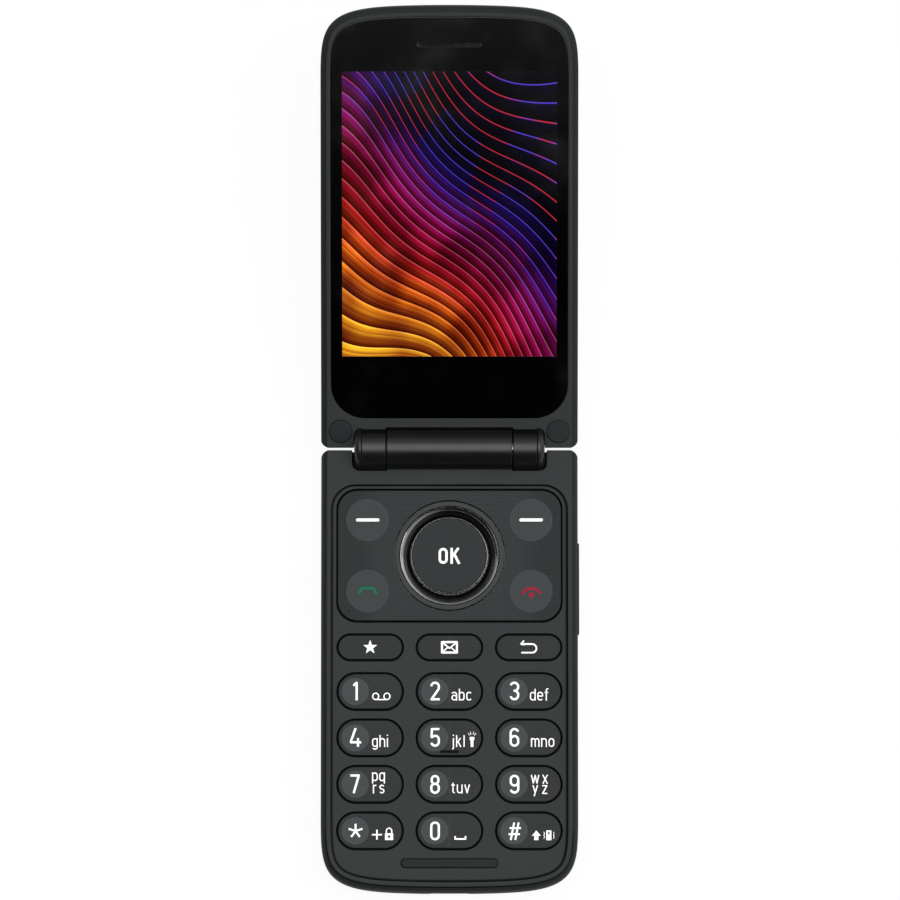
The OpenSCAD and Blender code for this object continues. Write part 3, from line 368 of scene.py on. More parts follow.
def mesh_from(solid: Solid, name: str) -> bpy.types.Mesh:
    """Turns a solid into a Blender mesh in millimetres, without its loose points."""
    mesh = bpy.data.meshes.new(name)
    used = sorted({i for f in solid.faces for i in f})
    index = {old: new for new, old in enumerate(used)}
    mesh.from_pydata([solid.points[i] for i in used], [], [[index[i] for i in f] for f in solid.faces])
    mesh.validate()
    mesh.update()
    return mesh


def combined(body: Solid, add: Sequence[Solid] = (), cut: Sequence[Solid] = (),
             keep: Sequence[Solid] = ()) -> Solid:
    """Joins solids to a body, keeps what lies in others and cuts others out, exactly.

    Args:
        body: The first solid.
        add: Solids that are joined to it.
        cut: Solids that are taken away from it.
        keep: Solids that it is kept within.

    Returns:
        One closed solid.
    """
    main = bpy.data.objects.new("work", mesh_from(body, "work"))
    bpy.context.scene.collection.objects.link(main)
    others: list[bpy.types.Object] = []
    for operation, tools in (("UNION", add), ("INTERSECT", keep), ("DIFFERENCE", cut)):
        for tool in tools:
            other = bpy.data.objects.new("tool", mesh_from(tool, "tool"))
            bpy.context.scene.collection.objects.link(other)
            step = main.modifiers.new("step", "BOOLEAN")
            step.operation, step.solver, step.object = operation, "EXACT", other
            others.append(other)
    done = main.evaluated_get(bpy.context.evaluated_depsgraph_get()).to_mesh()
    result = Solid([tuple(v.co) for v in done.vertices], [tuple(p.vertices) for p in done.polygons])
    for obj in (*others, main):
        mesh = obj.data
        bpy.data.objects.remove(obj)
        bpy.data.meshes.remove(mesh)
    return result


# Shader helpers

Colour = tuple[float, float, float]
Socket = bpy.types.NodeSocket
Value = float | Socket
DUST: Colour = (0.42, 0.41, 0.39)
COAT_ROUGH = 0.08


class Graph:
    """A node tree with short ways to add and join its nodes."""

    def __init__(self, tree: bpy.types.NodeTree) -> None:
        """Keeps the tree."""
        self.tree = tree

    def add(self, kind: str, **settings: object) -> bpy.types.Node:
        """Adds a node and sets its properties."""
        node = self.tree.nodes.new(kind)
        for name, value in settings.items():
            setattr(node, name, value)
        return node

    def feed(self, socket: Socket, value: object) -> None:
        """Links a socket to another, or sets its value."""
        if isinstance(value, Socket):
            self.tree.links.new(value, socket)
        elif isinstance(value, tuple) and socket.type == "RGBA" and len(value) == 3:
            socket.default_value = (*value, 1.0)
        else:
            socket.default_value = value

    def math(self, operation: str, a: Value, b: Value = 0.0, clamp: bool = False) -> Socket:
        """Adds a Math node; clamp keeps its result between 0 and 1."""
        node = self.add("ShaderNodeMath", operation=operation, use_clamp=clamp)
        self.feed(node.inputs[0], a)
        self.feed(node.inputs[1], b)
        return node.outputs[0]

    def times(self, a: Value, b: Value, clamp: bool = False) -> Socket:
        """Multiplies two values."""
        return self.math("MULTIPLY", a, b, clamp)

    def plus(self, a: Value, b: Value, clamp: bool = False) -> Socket:
        """Adds two values."""
        return self.math("ADD", a, b, clamp)

    def minus(self, a: Value, b: Value) -> Socket:
        """Takes the second value from the first."""
        return self.math("SUBTRACT", a, b)

    def ramp(self, value: Value, low: float, high: float, to_low: float = 0.0,
             to_high: float = 1.0) -> Socket:
        """Maps a value smoothly from the range low to high to the range to_low to to_high."""
        node = self.add("ShaderNodeMapRange", interpolation_type="SMOOTHSTEP")
        for name, v in (("Value", value), ("From Min", low), ("From Max", high), ("To Min", to_low),
                        ("To Max", to_high)):
            self.feed(node.inputs[name], v)
        return node.outputs["Result"]

    def mix(self, factor: Value, a: object, b: object, blend: str = "MIX") -> Socket:
        """Mixes two colours; factor is the share of the second."""
        node = self.add("ShaderNodeMix", data_type="RGBA", blend_type=blend)
        self.feed(node.inputs[0], factor)
        self.feed(node.inputs[6], a)
        self.feed(node.inputs[7], b)
        return node.outputs[2]

    def shaded(self, colour: Value, share: Value) -> Socket:
        """Multiplies a colour by a share of light."""
        return self.mix(1.0, colour, self.vector(share, share, share), "MULTIPLY")

    def up(self) -> Socket:
        """Gives how far a face looks up, from -1 to 1."""
        return self.split(self.add("ShaderNodeNewGeometry").outputs["Normal"])[2]

    def noise(self, where: Socket, scale: Value, detail: float = 2.0) -> Socket:
        """Adds a noise texture and gives its value."""
        node = self.add("ShaderNodeTexNoise")
        self.feed(node.inputs["Vector"], where)
        self.feed(node.inputs["Scale"], scale)
        node.inputs["Detail"].default_value = detail
        return node.outputs["Fac"]

    def split(self, where: Socket) -> tuple[Socket, ...]:
        """Gives the x, y and z of a vector."""
        node = self.add("ShaderNodeSeparateXYZ")
        self.feed(node.inputs[0], where)
        return tuple(node.outputs)

    def vector(self, x: Value, y: Value, z: Value = 0.0) -> Socket:
        """Joins x, y and z to a vector."""
        node = self.add("ShaderNodeCombineXYZ")
        for socket, value in zip(node.inputs, (x, y, z)):
            self.feed(socket, value)
        return node.outputs[0]

    def place(self) -> Socket:
        """Gives the place on the part, in metres, in the frame at rest."""
        return self.add("ShaderNodeTexCoord").outputs["Object"]


class Effect(Enum):
    """The shader effects that several finishes share; the value is the group's name."""

    GRAIN = "moulded grain"
    EDGES = "edge wear"
    DUST = "settled dust"
    LINES = "fine lines and dots"
    BRUSH = "brushed strokes"


def new_group(effect: Effect, takes: dict[str, object], gives: dict[str, str]) -> tuple[Graph, dict, dict]:
    """Starts a node group with named sockets.

    Args:
        effect: The effect that it makes.
        takes: Name and first value of each input; a tuple is a colour.
        gives: Name and socket type of each output.

    Returns:
        The group's graph, its inputs by name and its output sockets by name.
    """
    tree = bpy.data.node_groups.new(effect.value, "ShaderNodeTree")
    for name, value in takes.items():
        kind = "NodeSocketColor" if isinstance(value, tuple) else "NodeSocketFloat"
        socket = tree.interface.new_socket(name=name, in_out="INPUT", socket_type=kind)
        socket.default_value = (*value, 1.0) if isinstance(value, tuple) else value
    for name, kind in gives.items():
        tree.interface.new_socket(name=name, in_out="OUTPUT", socket_type=kind)
    graph = Graph(tree)
    start, end = graph.add("NodeGroupInput"), graph.add("NodeGroupOutput")
    return graph, {n: start.outputs[n] for n in takes}, {n: end.inputs[n] for n in gives}


def grain_group() -> None:
    """Builds the fine pebbled skin of moulded or painted plastic, with a slow change of colour."""
    g, get, give = new_group(
        Effect.GRAIN,
        {"Color": (0.05, 0.05, 0.05), "Fineness": 2600.0, "Variation": 0.2},
        {"Color": "NodeSocketColor", "Height": "NodeSocketFloat", "Roughness Shift": "NodeSocketFloat"})
    where = g.place()
    fine = g.noise(where, get["Fineness"], 3.0)
    slow = g.noise(where, 55.0, 4.0)
    share = g.times(g.minus(g.plus(g.times(fine, 0.55), g.times(slow, 0.45)), 0.5), get["Variation"])
    bright = g.plus(1.0, g.times(share, 2.0))
    g.feed(give["Color"], g.shaded(get["Color"], bright))
    g.feed(give["Height"], fine)
    g.feed(give["Roughness Shift"], g.times(g.minus(slow, 0.5), 0.16))


def edges_group() -> None:
    """Builds the mask of rubbed outer edges, and a normal that rounds every edge a little."""
    g, get, give = new_group(
        Effect.EDGES, {"Radius": 0.00018, "Amount": 0.5},
        {"Mask": "NodeSocketFloat", "Normal": "NodeSocketVector"})
    rounded = g.add("ShaderNodeBevel", samples=4)
    g.feed(rounded.inputs["Radius"], get["Radius"])
    flat = g.add("ShaderNodeNewGeometry").outputs["Normal"]
    dot = g.add("ShaderNodeVectorMath", operation="DOT_PRODUCT")
    g.feed(dot.inputs[0], rounded.outputs[0])
    g.feed(dot.inputs[1], flat)
    turned_away = g.ramp(dot.outputs["Value"], 0.995, 0.86)
    patchy = g.ramp(g.noise(g.place(), 420.0, 5.0), 0.38, 0.66)
    g.feed(give["Mask"], g.times(g.times(turned_away, patchy), get["Amount"], True))
    g.feed(give["Normal"], rounded.outputs[0])


def dust_group() -> None:
    """Builds the mask of fine dust and faint finger marks on faces that look up."""
    g, get, give = new_group(
        Effect.DUST, {"Amount": 0.05, "Smears": 0.05},
        {"Mask": "NodeSocketFloat", "Roughness Shift": "NodeSocketFloat"})
    where = g.place()
    specks = g.ramp(g.noise(where, 2100.0, 1.0), 0.72, 0.8)
    cloud = g.ramp(g.noise(where, 90.0, 5.0), 0.45, 0.75)
    facing = g.ramp(g.up(), 0.2, 0.9)
    g.feed(give["Mask"], g.times(g.times(g.plus(g.times(specks, 0.7), g.times(cloud, 0.3)), facing),
                                 get["Amount"], True))
    g.feed(give["Roughness Shift"], g.times(cloud, get["Smears"]))


def lines_group() -> None:
    """Builds the keypad's embossed pattern: fine level lines that turn into dots towards the sides."""
    g, get, give = new_group(
        Effect.LINES, {"Line Pitch": 0.00054, "Dot Pitch": 0.0006, "Dots From": 0.013, "Dots To": 0.02},
        {"Height": "NodeSocketFloat"})
    x, y, _ = g.split(g.place())

    def wave(along: Socket, pitch: Value) -> Socket:
        """Gives a sine wave of the pitch."""
        return g.math("SINE", g.times(g.math("DIVIDE", along, pitch), 2 * math.pi))

    wobble = g.times(g.noise(g.vector(g.times(x, 0.22), y), 1900.0, 2.0), 1.6)
    lines = g.times(g.plus(wave(y, get["Line Pitch"]), wobble), 0.5)
    slant, other = g.plus(x, y), g.minus(x, y)
    dots = g.times(wave(slant, get["Dot Pitch"]), wave(other, get["Dot Pitch"]))
    where = g.ramp(g.math("ABSOLUTE", x), get["Dots From"], get["Dots To"])
    both = g.plus(g.times(lines, g.minus(1.0, where)), g.times(dots, g.times(where, 1.6)))
    g.feed(give["Height"], both)


def brush_group() -> None:
    """Builds long fine strokes along one direction, for brushed and drawn metal."""
    g, get, give = new_group(
        Effect.BRUSH, {"Length": 0.03, "Fineness": 2600.0},
        {"Height": "NodeSocketFloat", "Roughness Shift": "NodeSocketFloat"})
    x, y, z = g.split(g.place())
    strokes = g.noise(g.vector(g.times(x, get["Length"]), y, z), get["Fineness"], 3.0)
    g.feed(give["Height"], strokes)
    g.feed(give["Roughness Shift"], g.times(g.minus(strokes, 0.5), 0.3))


def build_effects() -> None:
    """Builds every shared shader effect once."""
    for make in (grain_group, edges_group, dust_group, lines_group, brush_group):
        make()


def use(g: Graph, effect: Effect, **values: Value) -> bpy.types.Node:
    """Places a shared effect in a material; values are its inputs, with _ for a space in a name."""
    node = g.add("ShaderNodeGroup", node_tree=bpy.data.node_groups[effect.value])
    for name, value in values.items():
        g.feed(node.inputs[name.replace("_", " ")], value)
    return node


@dataclass(frozen=True)
class Finish:
    """One surface finish. The fields are what a moulder or painter would name.

    colour is the base colour, rough the roughness, metal the metallic share, skin and fineness the
    height and fineness of the grain, variation its change of colour, wear and worn the share and
    colour of rubbed edges, edge the radius to which edges look rounded, dust the share of dust,
    clear the share of a clear coat, shine the specular level and glow a painted glow that brightens a print.
    """

    name: str
    colour: Colour
    rough: float = 0.5
    metal: float = 0.0
    skin: float = 0.02
    fineness: float = 2600.0
    variation: float = 0.12
    wear: float = 0.25
    worn: Colour = (0.12, 0.125, 0.13)
    edge: float = 0.00012
    dust: float = 0.03
    clear: float = 0.0
    shine: float = 0.5
    glow: float = 0.0

    def pattern(self, g: Graph, colour: Value, height: Value) -> tuple[Value, Value, Value]:
        """Adds a finish's own pattern; a plain finish has none.

        Args:
            g: The material's graph.
            colour: Colour so far.
            height: Height so far.

        Returns:
            Colour, height and a share by which the roughness changes.
        """
        return colour, height, 0.0

    def settings(self, g: Graph, shader: bpy.types.Node) -> None:
        """Sets what else the shader needs; a plain finish needs nothing."""

    def material(self) -> bpy.types.Material:
        """Gives the finish's material, built at the first call."""
        found = bpy.data.materials.get(self.name)
        if found:
            return found
        material = bpy.data.materials.new(self.name)
        g = cleared(material)
        shader = g.add("ShaderNodeBsdfPrincipled")
        g.feed(g.add("ShaderNodeOutputMaterial").inputs["Surface"], shader.outputs[0])
        skin = use(g, Effect.GRAIN, Color=self.colour, Fineness=self.fineness, Variation=self.variation)
        edges = use(g, Effect.EDGES, Radius=self.edge, Amount=self.wear)
        dust = use(g, Effect.DUST, Amount=self.dust)
        colour, height, shift = self.pattern(g, skin.outputs["Color"], skin.outputs["Height"])
        colour = g.mix(edges.outputs["Mask"], colour, self.worn)
        colour = g.mix(dust.outputs["Mask"], colour, DUST)
        rough = g.plus(g.plus(self.rough, skin.outputs["Roughness Shift"]),
                       g.plus(shift, dust.outputs["Roughness Shift"]), True)
        bump = g.add("ShaderNodeBump")
        bump.inputs["Distance"].default_value = self.skin * MM
        g.feed(bump.inputs["Height"], height)
        g.feed(bump.inputs["Normal"], edges.outputs["Normal"])
        g.feed(shader.inputs["Base Color"], colour)
        g.feed(shader.inputs["Roughness"], rough)
        g.feed(shader.inputs["Normal"], bump.outputs[0])
        shader.inputs["Metallic"].default_value = self.metal
        shader.inputs["Coat Weight"].default_value = self.clear
        shader.inputs["Coat Roughness"].default_value = COAT_ROUGH
        shader.inputs["Specular IOR Level"].default_value = self.shine
        # Painted light: the print glows to look brighter than the lamps make it.
        if self.glow:
            shader.inputs["Emission Color"].default_value = (*self.colour, 1.0)
            shader.inputs["Emission Strength"].default_value = self.glow
        self.settings(g, shader)
        return material


@dataclass(frozen=True)
class KeyFinish(Finish):
    """Embossed keys, with a smooth lighter disc where the pattern stops.

    disc_at and disc_r place the disc in the key's own measures, in millimetres; mirrored puts one in
    each corner. relief is how much the pattern shows as colour, dots_from and dots_to are where the
    lines turn into dots, in metres from the middle, and lighter is the disc's brightness.
    """

    disc_at: Point = (0.0, 0.0)
    disc_r: float = 0.0
    mirrored: bool = False
    relief: float = 0.35
    dots_from: float = 0.0
    dots_to: float = 0.001
    lighter: float = 2.0

    def pattern(self, g: Graph, colour: Value, height: Value) -> tuple[Value, Value, Value]:
        """Adds the embossed lines and dots, and the disc with a faint painted highlight at its rim."""
        lines = use(g, Effect.LINES, Dots_From=self.dots_from, Dots_To=self.dots_to).outputs["Height"]
        bright = g.plus(1.0, g.times(lines, self.relief))
        shade: Value = bright
        if self.disc_r:
            x, y, _ = g.split(g.add("ShaderNodeUVMap", uv_map="key").outputs[0])
            if self.mirrored:
                x, y = g.math("ABSOLUTE", x), g.math("ABSOLUTE", y)
            away = g.add("ShaderNodeVectorMath", operation="LENGTH")
            g.feed(away.inputs[0], g.vector(g.minus(x, self.disc_at[0]), g.minus(y, self.disc_at[1])))
            r = away.outputs["Value"]
            inside = g.ramp(r, self.disc_r + 0.05, self.disc_r - 0.05)
            # rim is a painted highlight: a brighter band just inside the disc's edge.
            rim = g.times(g.ramp(r, self.disc_r - 0.45, self.disc_r - 0.1), inside)
            plain = g.plus(self.lighter, g.times(rim, 0.12))
            shade = g.plus(g.times(bright, g.minus(1.0, inside)), g.times(plain, inside))
            lines = g.times(lines, g.minus(1.0, inside))
        raised = g.plus(g.times(height, 0.4), g.times(lines, 0.5))
        return g.shaded(colour, shade), raised, 0.0


@dataclass(frozen=True)
class BrushedFinish(Finish):
    """Drawn or brushed metal, and the brushed paint of the OK key."""

    length: float = 0.03
    shade: float = 0.0

    def pattern(self, g: Graph, colour: Value, height: Value) -> tuple[Value, Value, Value]:
        """Adds the strokes."""
        strokes = use(g, Effect.BRUSH, Length=self.length, Fineness=self.fineness)
        bright = g.plus(1.0, g.times(g.minus(strokes.outputs["Height"], 0.5), self.shade))
        colour = g.shaded(colour, bright)
        return colour, strokes.outputs["Height"], strokes.outputs["Roughness Shift"]


@dataclass(frozen=True)
class GlassFinish(Finish):
    """Clear mouldings, such as the lamp's lens."""

    def settings(self, g: Graph, shader: bpy.types.Node) -> None:
        """Lets light through."""
        shader.inputs["Transmission Weight"].default_value = 0.85
        shader.inputs["IOR"].default_value = 1.49


PICTURE_COLOURS = [(0.0, (0.98, 0.50, 0.02)), (0.16, (0.95, 0.24, 0.01)), (0.32, (0.80, 0.03, 0.03)),
                   (0.46, (0.55, 0.01, 0.09)), (0.6, (0.34, 0.01, 0.17)), (0.74, (0.09, 0.01, 0.2)),
                   (0.86, (0.012, 0.004, 0.12)), (1.0, (0.002, 0.001, 0.012))]


@dataclass(frozen=True)
class PictureFinish(Finish):
    """The lit main screen: flowing ribbons of amber, red, magenta and violet over black."""

    def settings(self, g: Graph, shader: bpy.types.Node) -> None:
        """Draws the picture from the screen's own measures and lets it shine."""
        u, v, _ = g.split(g.add("ShaderNodeUVMap", uv_map="screen").outputs[0])

        def wave(turns: float, lean: float, start: float, size: float) -> Socket:
            """Gives one sine wave across the screen."""
            phase = g.plus(g.plus(g.times(u, turns), g.times(v, lean)), start)
            return g.times(g.math("SINE", phase), size)

        # The flow rises from the lower left to the upper right, bent by waves and a soft cloud.
        flow = g.plus(g.plus(v, g.times(u, 0.55)), wave(4.3, 1.3, 3.3, 0.12))
        flow = g.plus(flow, wave(6.1, -3.4, 1.2, 0.05))
        cloud = g.noise(g.vector(u, v), 1.1, 0.0)
        flow = g.plus(flow, g.minus(g.times(g.minus(cloud, 0.5), 0.25), 0.12))
        # Each ribbon holds three folds and about five threads.
        ribbon = g.math("FRACT", g.times(flow, 17.0))
        fold = g.math("FRACT", g.times(flow, 51.0))
        thread = g.math("SINE", g.plus(g.times(flow, 560.0),
                                       g.times(g.noise(g.vector(u, v), 9.0, 1.0), 6.0)))
        ramp = g.add("ShaderNodeValToRGB")
        for i, (at, colour) in enumerate(PICTURE_COLOURS):
            stop = ramp.color_ramp.elements[i] if i < 2 else ramp.color_ramp.elements.new(at)
            stop.position, stop.color = at, (*colour, 1.0)
        g.feed(ramp.inputs[0], g.plus(flow, g.times(g.minus(ribbon, 0.5), 0.13)))
        # A ribbon is dark where it starts and bright where it ends.
        edge = g.math("POWER", ribbon, 1.7)
        light = g.plus(0.14, g.times(edge, 1.45))
        light = g.times(light, g.plus(0.62, g.times(fold, 0.5)))
        light = g.times(light, g.plus(0.93, g.times(thread, 0.09)))
        dark = g.ramp(g.noise(g.vector(g.times(u, 0.9), g.plus(v, 3.1)), 3.1, 2.0), 0.36, 0.62, 0.3, 1.0)
        light = g.times(light, dark)
        picture = g.mix(1.0, ramp.outputs[0], g.vector(light, g.math("POWER", light, 1.7),
                                                       g.math("POWER", light, 1.2)), "MULTIPLY")
        # The last tenth of a ribbon is its lit edge: warm where the flow is low, else red or violet.
        glow = g.ramp(g.minus(ribbon, 0.9), 0.0, 0.06)
        cold = g.mix(g.ramp(g.noise(g.vector(u, v), 5.0, 0.0), 0.44, 0.56), (0.12, 0.06, 0.8),
                     (0.75, 0.03, 0.06))
        edge_colour = g.mix(g.ramp(flow, 0.52, 0.72), g.mix(0.5, ramp.outputs[0], (0.95, 0.45, 0.25)), cold)
        picture = g.mix(g.times(glow, g.ramp(flow, 0.5, 0.8, 0.3, 0.75)), picture, edge_colour)
        g.feed(shader.inputs["Emission Color"], picture)
        shader.inputs["Emission Strength"].default_value = 1.0


@dataclass(frozen=True)
class PaintedShadeFinish(Finish):
    """A moulding whose steep inner walls get painted shade, darker the more upright they stand."""

    steepest: float = 0.1

    def pattern(self, g: Graph, colour: Value, height: Value) -> tuple[Value, Value, Value]:
        """Paints shade on a face by its slope."""
        return g.shaded(colour, g.ramp(g.up(), 0.95, 0.9985, self.steepest, 1.0)), height, 0.0


class Skin(Enum):
    """The finishes of the phone's own pieces."""

    BODY = Finish("dark grey satin paint", (0.0245, 0.0274, 0.0281), rough=0.5, skin=0.012, wear=0.16,
                  shine=0.1)
    # The keypad recess walls: painted shade darkens them by their slope.
    SHADED_WALL = PaintedShadeFinish("painted recess wall", (0.0245, 0.0274, 0.0281), rough=0.5, skin=0.012, wear=0.0,
                        shine=0.1)
    SIDE = Finish("darker grey moulding", (0.0185, 0.0215, 0.021), rough=0.52, skin=0.018, wear=0.12,
                  shine=0.04)
    BARREL = Finish("satin painted barrel", (0.0035, 0.0038, 0.004), rough=0.3, skin=0.003, wear=0.12,
                    dust=0.01, shine=0.35)
    CAP = Finish("satin barrel cap", (0.005, 0.0056, 0.0058), rough=0.3, skin=0.003, wear=0.3, dust=0.01,
                 shine=0.42)
    KEY = KeyFinish("embossed keys", (0.0235, 0.026, 0.027), rough=0.46, skin=0.02, disc_at=(-3.3, 0.0),
                    disc_r=3.05, dots_to=0.0005, wear=0.1, shine=0.1)
    SLIM_KEY = KeyFinish("embossed slim keys", (0.0225, 0.025, 0.026), rough=0.46, skin=0.02, dots_to=0.0005,
                         wear=0.1, shine=0.1)
    NAV = KeyFinish("embossed ring plate", (0.0176, 0.0205, 0.021), rough=0.46, skin=0.02,
                    disc_at=(18.44, 8.06), disc_r=4.8, mirrored=True, relief=0.6, dots_from=0.014,
                    dots_to=0.021, wear=0.1, shine=0.1)
    OK = BrushedFinish("brushed paint of the middle key", (0.018, 0.021, 0.0215), rough=0.42, skin=0.008,
                       length=0.05, fineness=2300.0, shade=0.7, wear=0.05, shine=0.1, dust=0.01)
    RING = BrushedFinish("satin ring", (0.0355, 0.039, 0.0398), rough=0.42, skin=0.002, length=0.2, wear=0.0,
                         shade=0.1, dust=0.01, shine=0.1)
    CUT = Finish("bright cut edge", (0.3, 0.305, 0.31), rough=0.12, metal=1.0, skin=0.0, wear=0.0,
                 edge=0.00003, dust=0.0, variation=0.02)
    DISH = Finish("polished black dish", (0.002, 0.002, 0.0022), rough=0.14, skin=0.0, wear=0.0, dust=0.005)
    WINDOW = Finish("polished black window", (0.0004, 0.0004, 0.0005), rough=0.05, skin=0.0002, wear=0.0,
                    dust=0.001, edge=0.00006)
    PICTURE = PictureFinish("lit main screen", (0.0, 0.0, 0.0), rough=0.06, skin=0.0, wear=0.0, dust=0.0,
                            edge=0.00003)
    OUTER = Finish("dark window over the outer screen", (0.006, 0.006, 0.0075), rough=0.05, skin=0.0003,
                   wear=0.05)
    OUTER_SCREEN = Finish("unlit outer screen", (0.02, 0.022, 0.025), rough=0.3, skin=0.002, wear=0.0)
    LENS = Finish("camera glass", (0.003, 0.003, 0.004), rough=0.03, skin=0.0, wear=0.05, clear=1.0,
                  shine=0.8)
    TORCH = GlassFinish("clear lamp lens", (0.9, 0.9, 0.86), rough=0.08, skin=0.004, wear=0.0, dust=0.0)
    RUBBER = Finish("soft dark rubber", (0.0175, 0.021, 0.021), rough=0.62, skin=0.02, variation=0.18,
                    wear=0.1, shine=0.06)
    SOFT_BAR = Finish("soft grey bar", (0.0165, 0.0185, 0.019), rough=0.55, skin=0.02, variation=0.18,
                      wear=0.1, shine=0.08)
    GRILLE = BrushedFinish("woven ear grille", (0.0035, 0.0035, 0.0037), rough=0.5, length=1.0, shine=0.06)
    # The white print has a painted glow.
    WHITE = Finish("white print", (0.88, 0.88, 0.87), rough=0.42, skin=0.004, variation=0.03, wear=0.0,
                   dust=0.01, glow=0.15)
    # Black painted shade: laid on key sides, opening walls, grooves, the barrels' far sides and the parting
    # step, where shade falls.
    PAINTED_SHADE = Finish("matt black filling", (0.0025, 0.0025, 0.0028), rough=0.6, skin=0.004, wear=0.0, dust=0.005,
                 shine=0.06)
    GREEN = Finish("green print", (0.001, 0.13, 0.06), shine=0.1, rough=0.42, skin=0.004, variation=0.05,
                   wear=0.0, dust=0.01)
    RED = Finish("crimson print", (0.27, 0.003, 0.026), shine=0.1, rough=0.42, skin=0.004, variation=0.05,
                 wear=0.0, dust=0.01)
    SILICONE = Finish("translucent silicone", (0.6, 0.6, 0.57), rough=0.45, variation=0.08, wear=0.0)
    BOARD = Finish("green circuit board", (0.01, 0.08, 0.035), rough=0.35, skin=0.01, variation=0.4,
                   fineness=900.0)
    FILM = Finish("amber film circuit", (0.5, 0.25, 0.05), rough=0.35, skin=0.004, variation=0.15)
    TIN = BrushedFinish("tinned sheet steel", (0.5, 0.51, 0.52), rough=0.32, metal=1.0, length=0.2,
                        shade=0.15)
    STEEL = BrushedFinish("turned steel", (0.45, 0.45, 0.46), rough=0.28, metal=1.0, length=0.4, shade=0.2)
    BRONZE = BrushedFinish("blackened bronze sleeve", (0.03, 0.026, 0.02), rough=0.4, metal=0.7, length=0.4,
                           shade=0.2)
    BATTERY = Finish("battery wrap", (0.02, 0.02, 0.023), rough=0.4, skin=0.01, variation=0.15)
    PLAIN = Finish("plain inner moulding", (0.03, 0.03, 0.032), rough=0.55, variation=0.2)


def cleared(data: bpy.types.Material | bpy.types.World) -> Graph:
    """Gives the empty node tree of a new material or world."""
    data.use_nodes = True
    data.node_tree.nodes.clear()
    return Graph(data.node_tree)


def coated(mesh: bpy.types.Mesh, skins: Sequence[Skin]) -> None:
    """Gives a mesh its materials in order."""
    mesh.materials.clear()
    for skin in skins:
        mesh.materials.append(skin.value.material())


@dataclass
class Piece:
    """What a dressed piece needs besides its solid.

    name is the piece's name, body the body it rides on, skins its finishes, stands_for the nodes it
    replaces and crease the angle above which an edge stays sharp; slot is not used.
    choose is a rule that picks a finish for a face from the face's middle and direction in leaf
    measures. uv_name, uv_origin and uv_size name a map and the corner and size of what it covers.
    """

    name: str
    body: str
    skins: tuple[Skin, ...]
    stands_for: tuple[str, ...] = ()
    slot: str = ""
    crease: float = 30.0
    choose: Callable[[np.ndarray, np.ndarray], int] | None = None
    uv_name: str = ""
    uv_origin: Point = (0.0, 0.0)
    uv_size: Point = (1.0, 1.0)

    @property
    def half(self) -> Half:
        """The half that the piece is drawn in; all that doesn't ride on the lid is on the base."""
        return Half.LID if self.body == Half.LID.value else Half.BASE

    def build(self, solid: Solid) -> bpy.types.Object:
        """Turns a solid into the finished piece.

        Args:
            solid: The piece in leaf measures.

        Returns:
            The object, dressed and riding on its body.
        """
        mesh = mesh_from(solid, self.name)
        coated(mesh, self.skins)
        if self.choose:
            for face in mesh.polygons:
                face.material_index = self.choose(np.array(face.center), np.array(face.normal))
        if self.uv_name:
            layer = mesh.uv_layers.new(name=self.uv_name)
            for loop in mesh.loops:
                x, v, _ = mesh.vertices[loop.vertex_index].co
                layer.data[loop.index].uv = ((x - self.uv_origin[0]) / self.uv_size[0],
                                             (v - self.uv_origin[1]) / self.uv_size[1])
        if self.half is Half.BASE:
            mesh.flip_normals()
        points = np.empty(len(mesh.vertices) * 3)
        mesh.vertices.foreach_get("co", points)
        mesh.vertices.foreach_set("co", LEAF.put(points.reshape(-1, 3), self.half).ravel())
        mesh.shade_smooth()
        mesh.set_sharp_from_angle(angle=math.radians(self.crease))
        mesh.update()
        obj = bpy.data.objects.new(self.name, mesh)
        bpy.context.scene.collection.objects.link(obj)
        normals = obj.modifiers.new("even normals", "WEIGHTED_NORMAL")
        normals.keep_sharp = True
        normals.weight = 80
        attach(obj, self.body)
        if self.stands_for:
            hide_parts(*self.stands_for)
        LOG.info("%s: %d faces, rides on %s", self.name, len(mesh.polygons), self.body)
        return obj


def rim_levels(parting: float) -> list[Level]:
    """Gives the section of the thin frame above a parting line, with its top edge rounded."""
    rounded = quarter(0.2, 0.22) + [(parting, 0.0)]
    inset = LEAF.parting_inset
    return [(d, inset + i, LEAF.leaf_v0, LEAF.hinge_corner(inset + i)) for d, i in rounded]


def body_levels(thick: float, parting: float, rise: float, back_round: float) -> list[Level]:
    """Gives the section of a moulded half: the bulge to the widest line, then the rounded back.

    Args:
        thick: Thickness of the half.
        parting: Depth of the parting line.
        rise: Height of the bulge above the widest line.
        back_round: Rounding of the back edge across the back.

    Returns:
        The levels from the parting line to the back.
    """
    widest = parting + rise
    drop = (thick - widest) * 0.7
    bulge = [(parting + rise * (1 - math.cos(a)), LEAF.parting_inset * (1 - math.sin(a)))
             for a in sweep(0, 90, 9)]
    back = [(thick - drop * (1 - math.sin(a)), back_round * (1 - math.cos(a))) for a in sweep(0, 90, 12)]
    return [(d, i, LEAF.leaf_v0, LEAF.hinge_corner(i)) for d, i in bulge + back]


def leaf_prism(inset: float, top: float, low: float, v0: float = LEAF.leaf_v0, r: float = 0.2) -> Solid:
    """Makes a straight-sided block with a leaf outline between two depths."""
    return loft([(top, inset, v0, r), (low, inset, v0, r)])


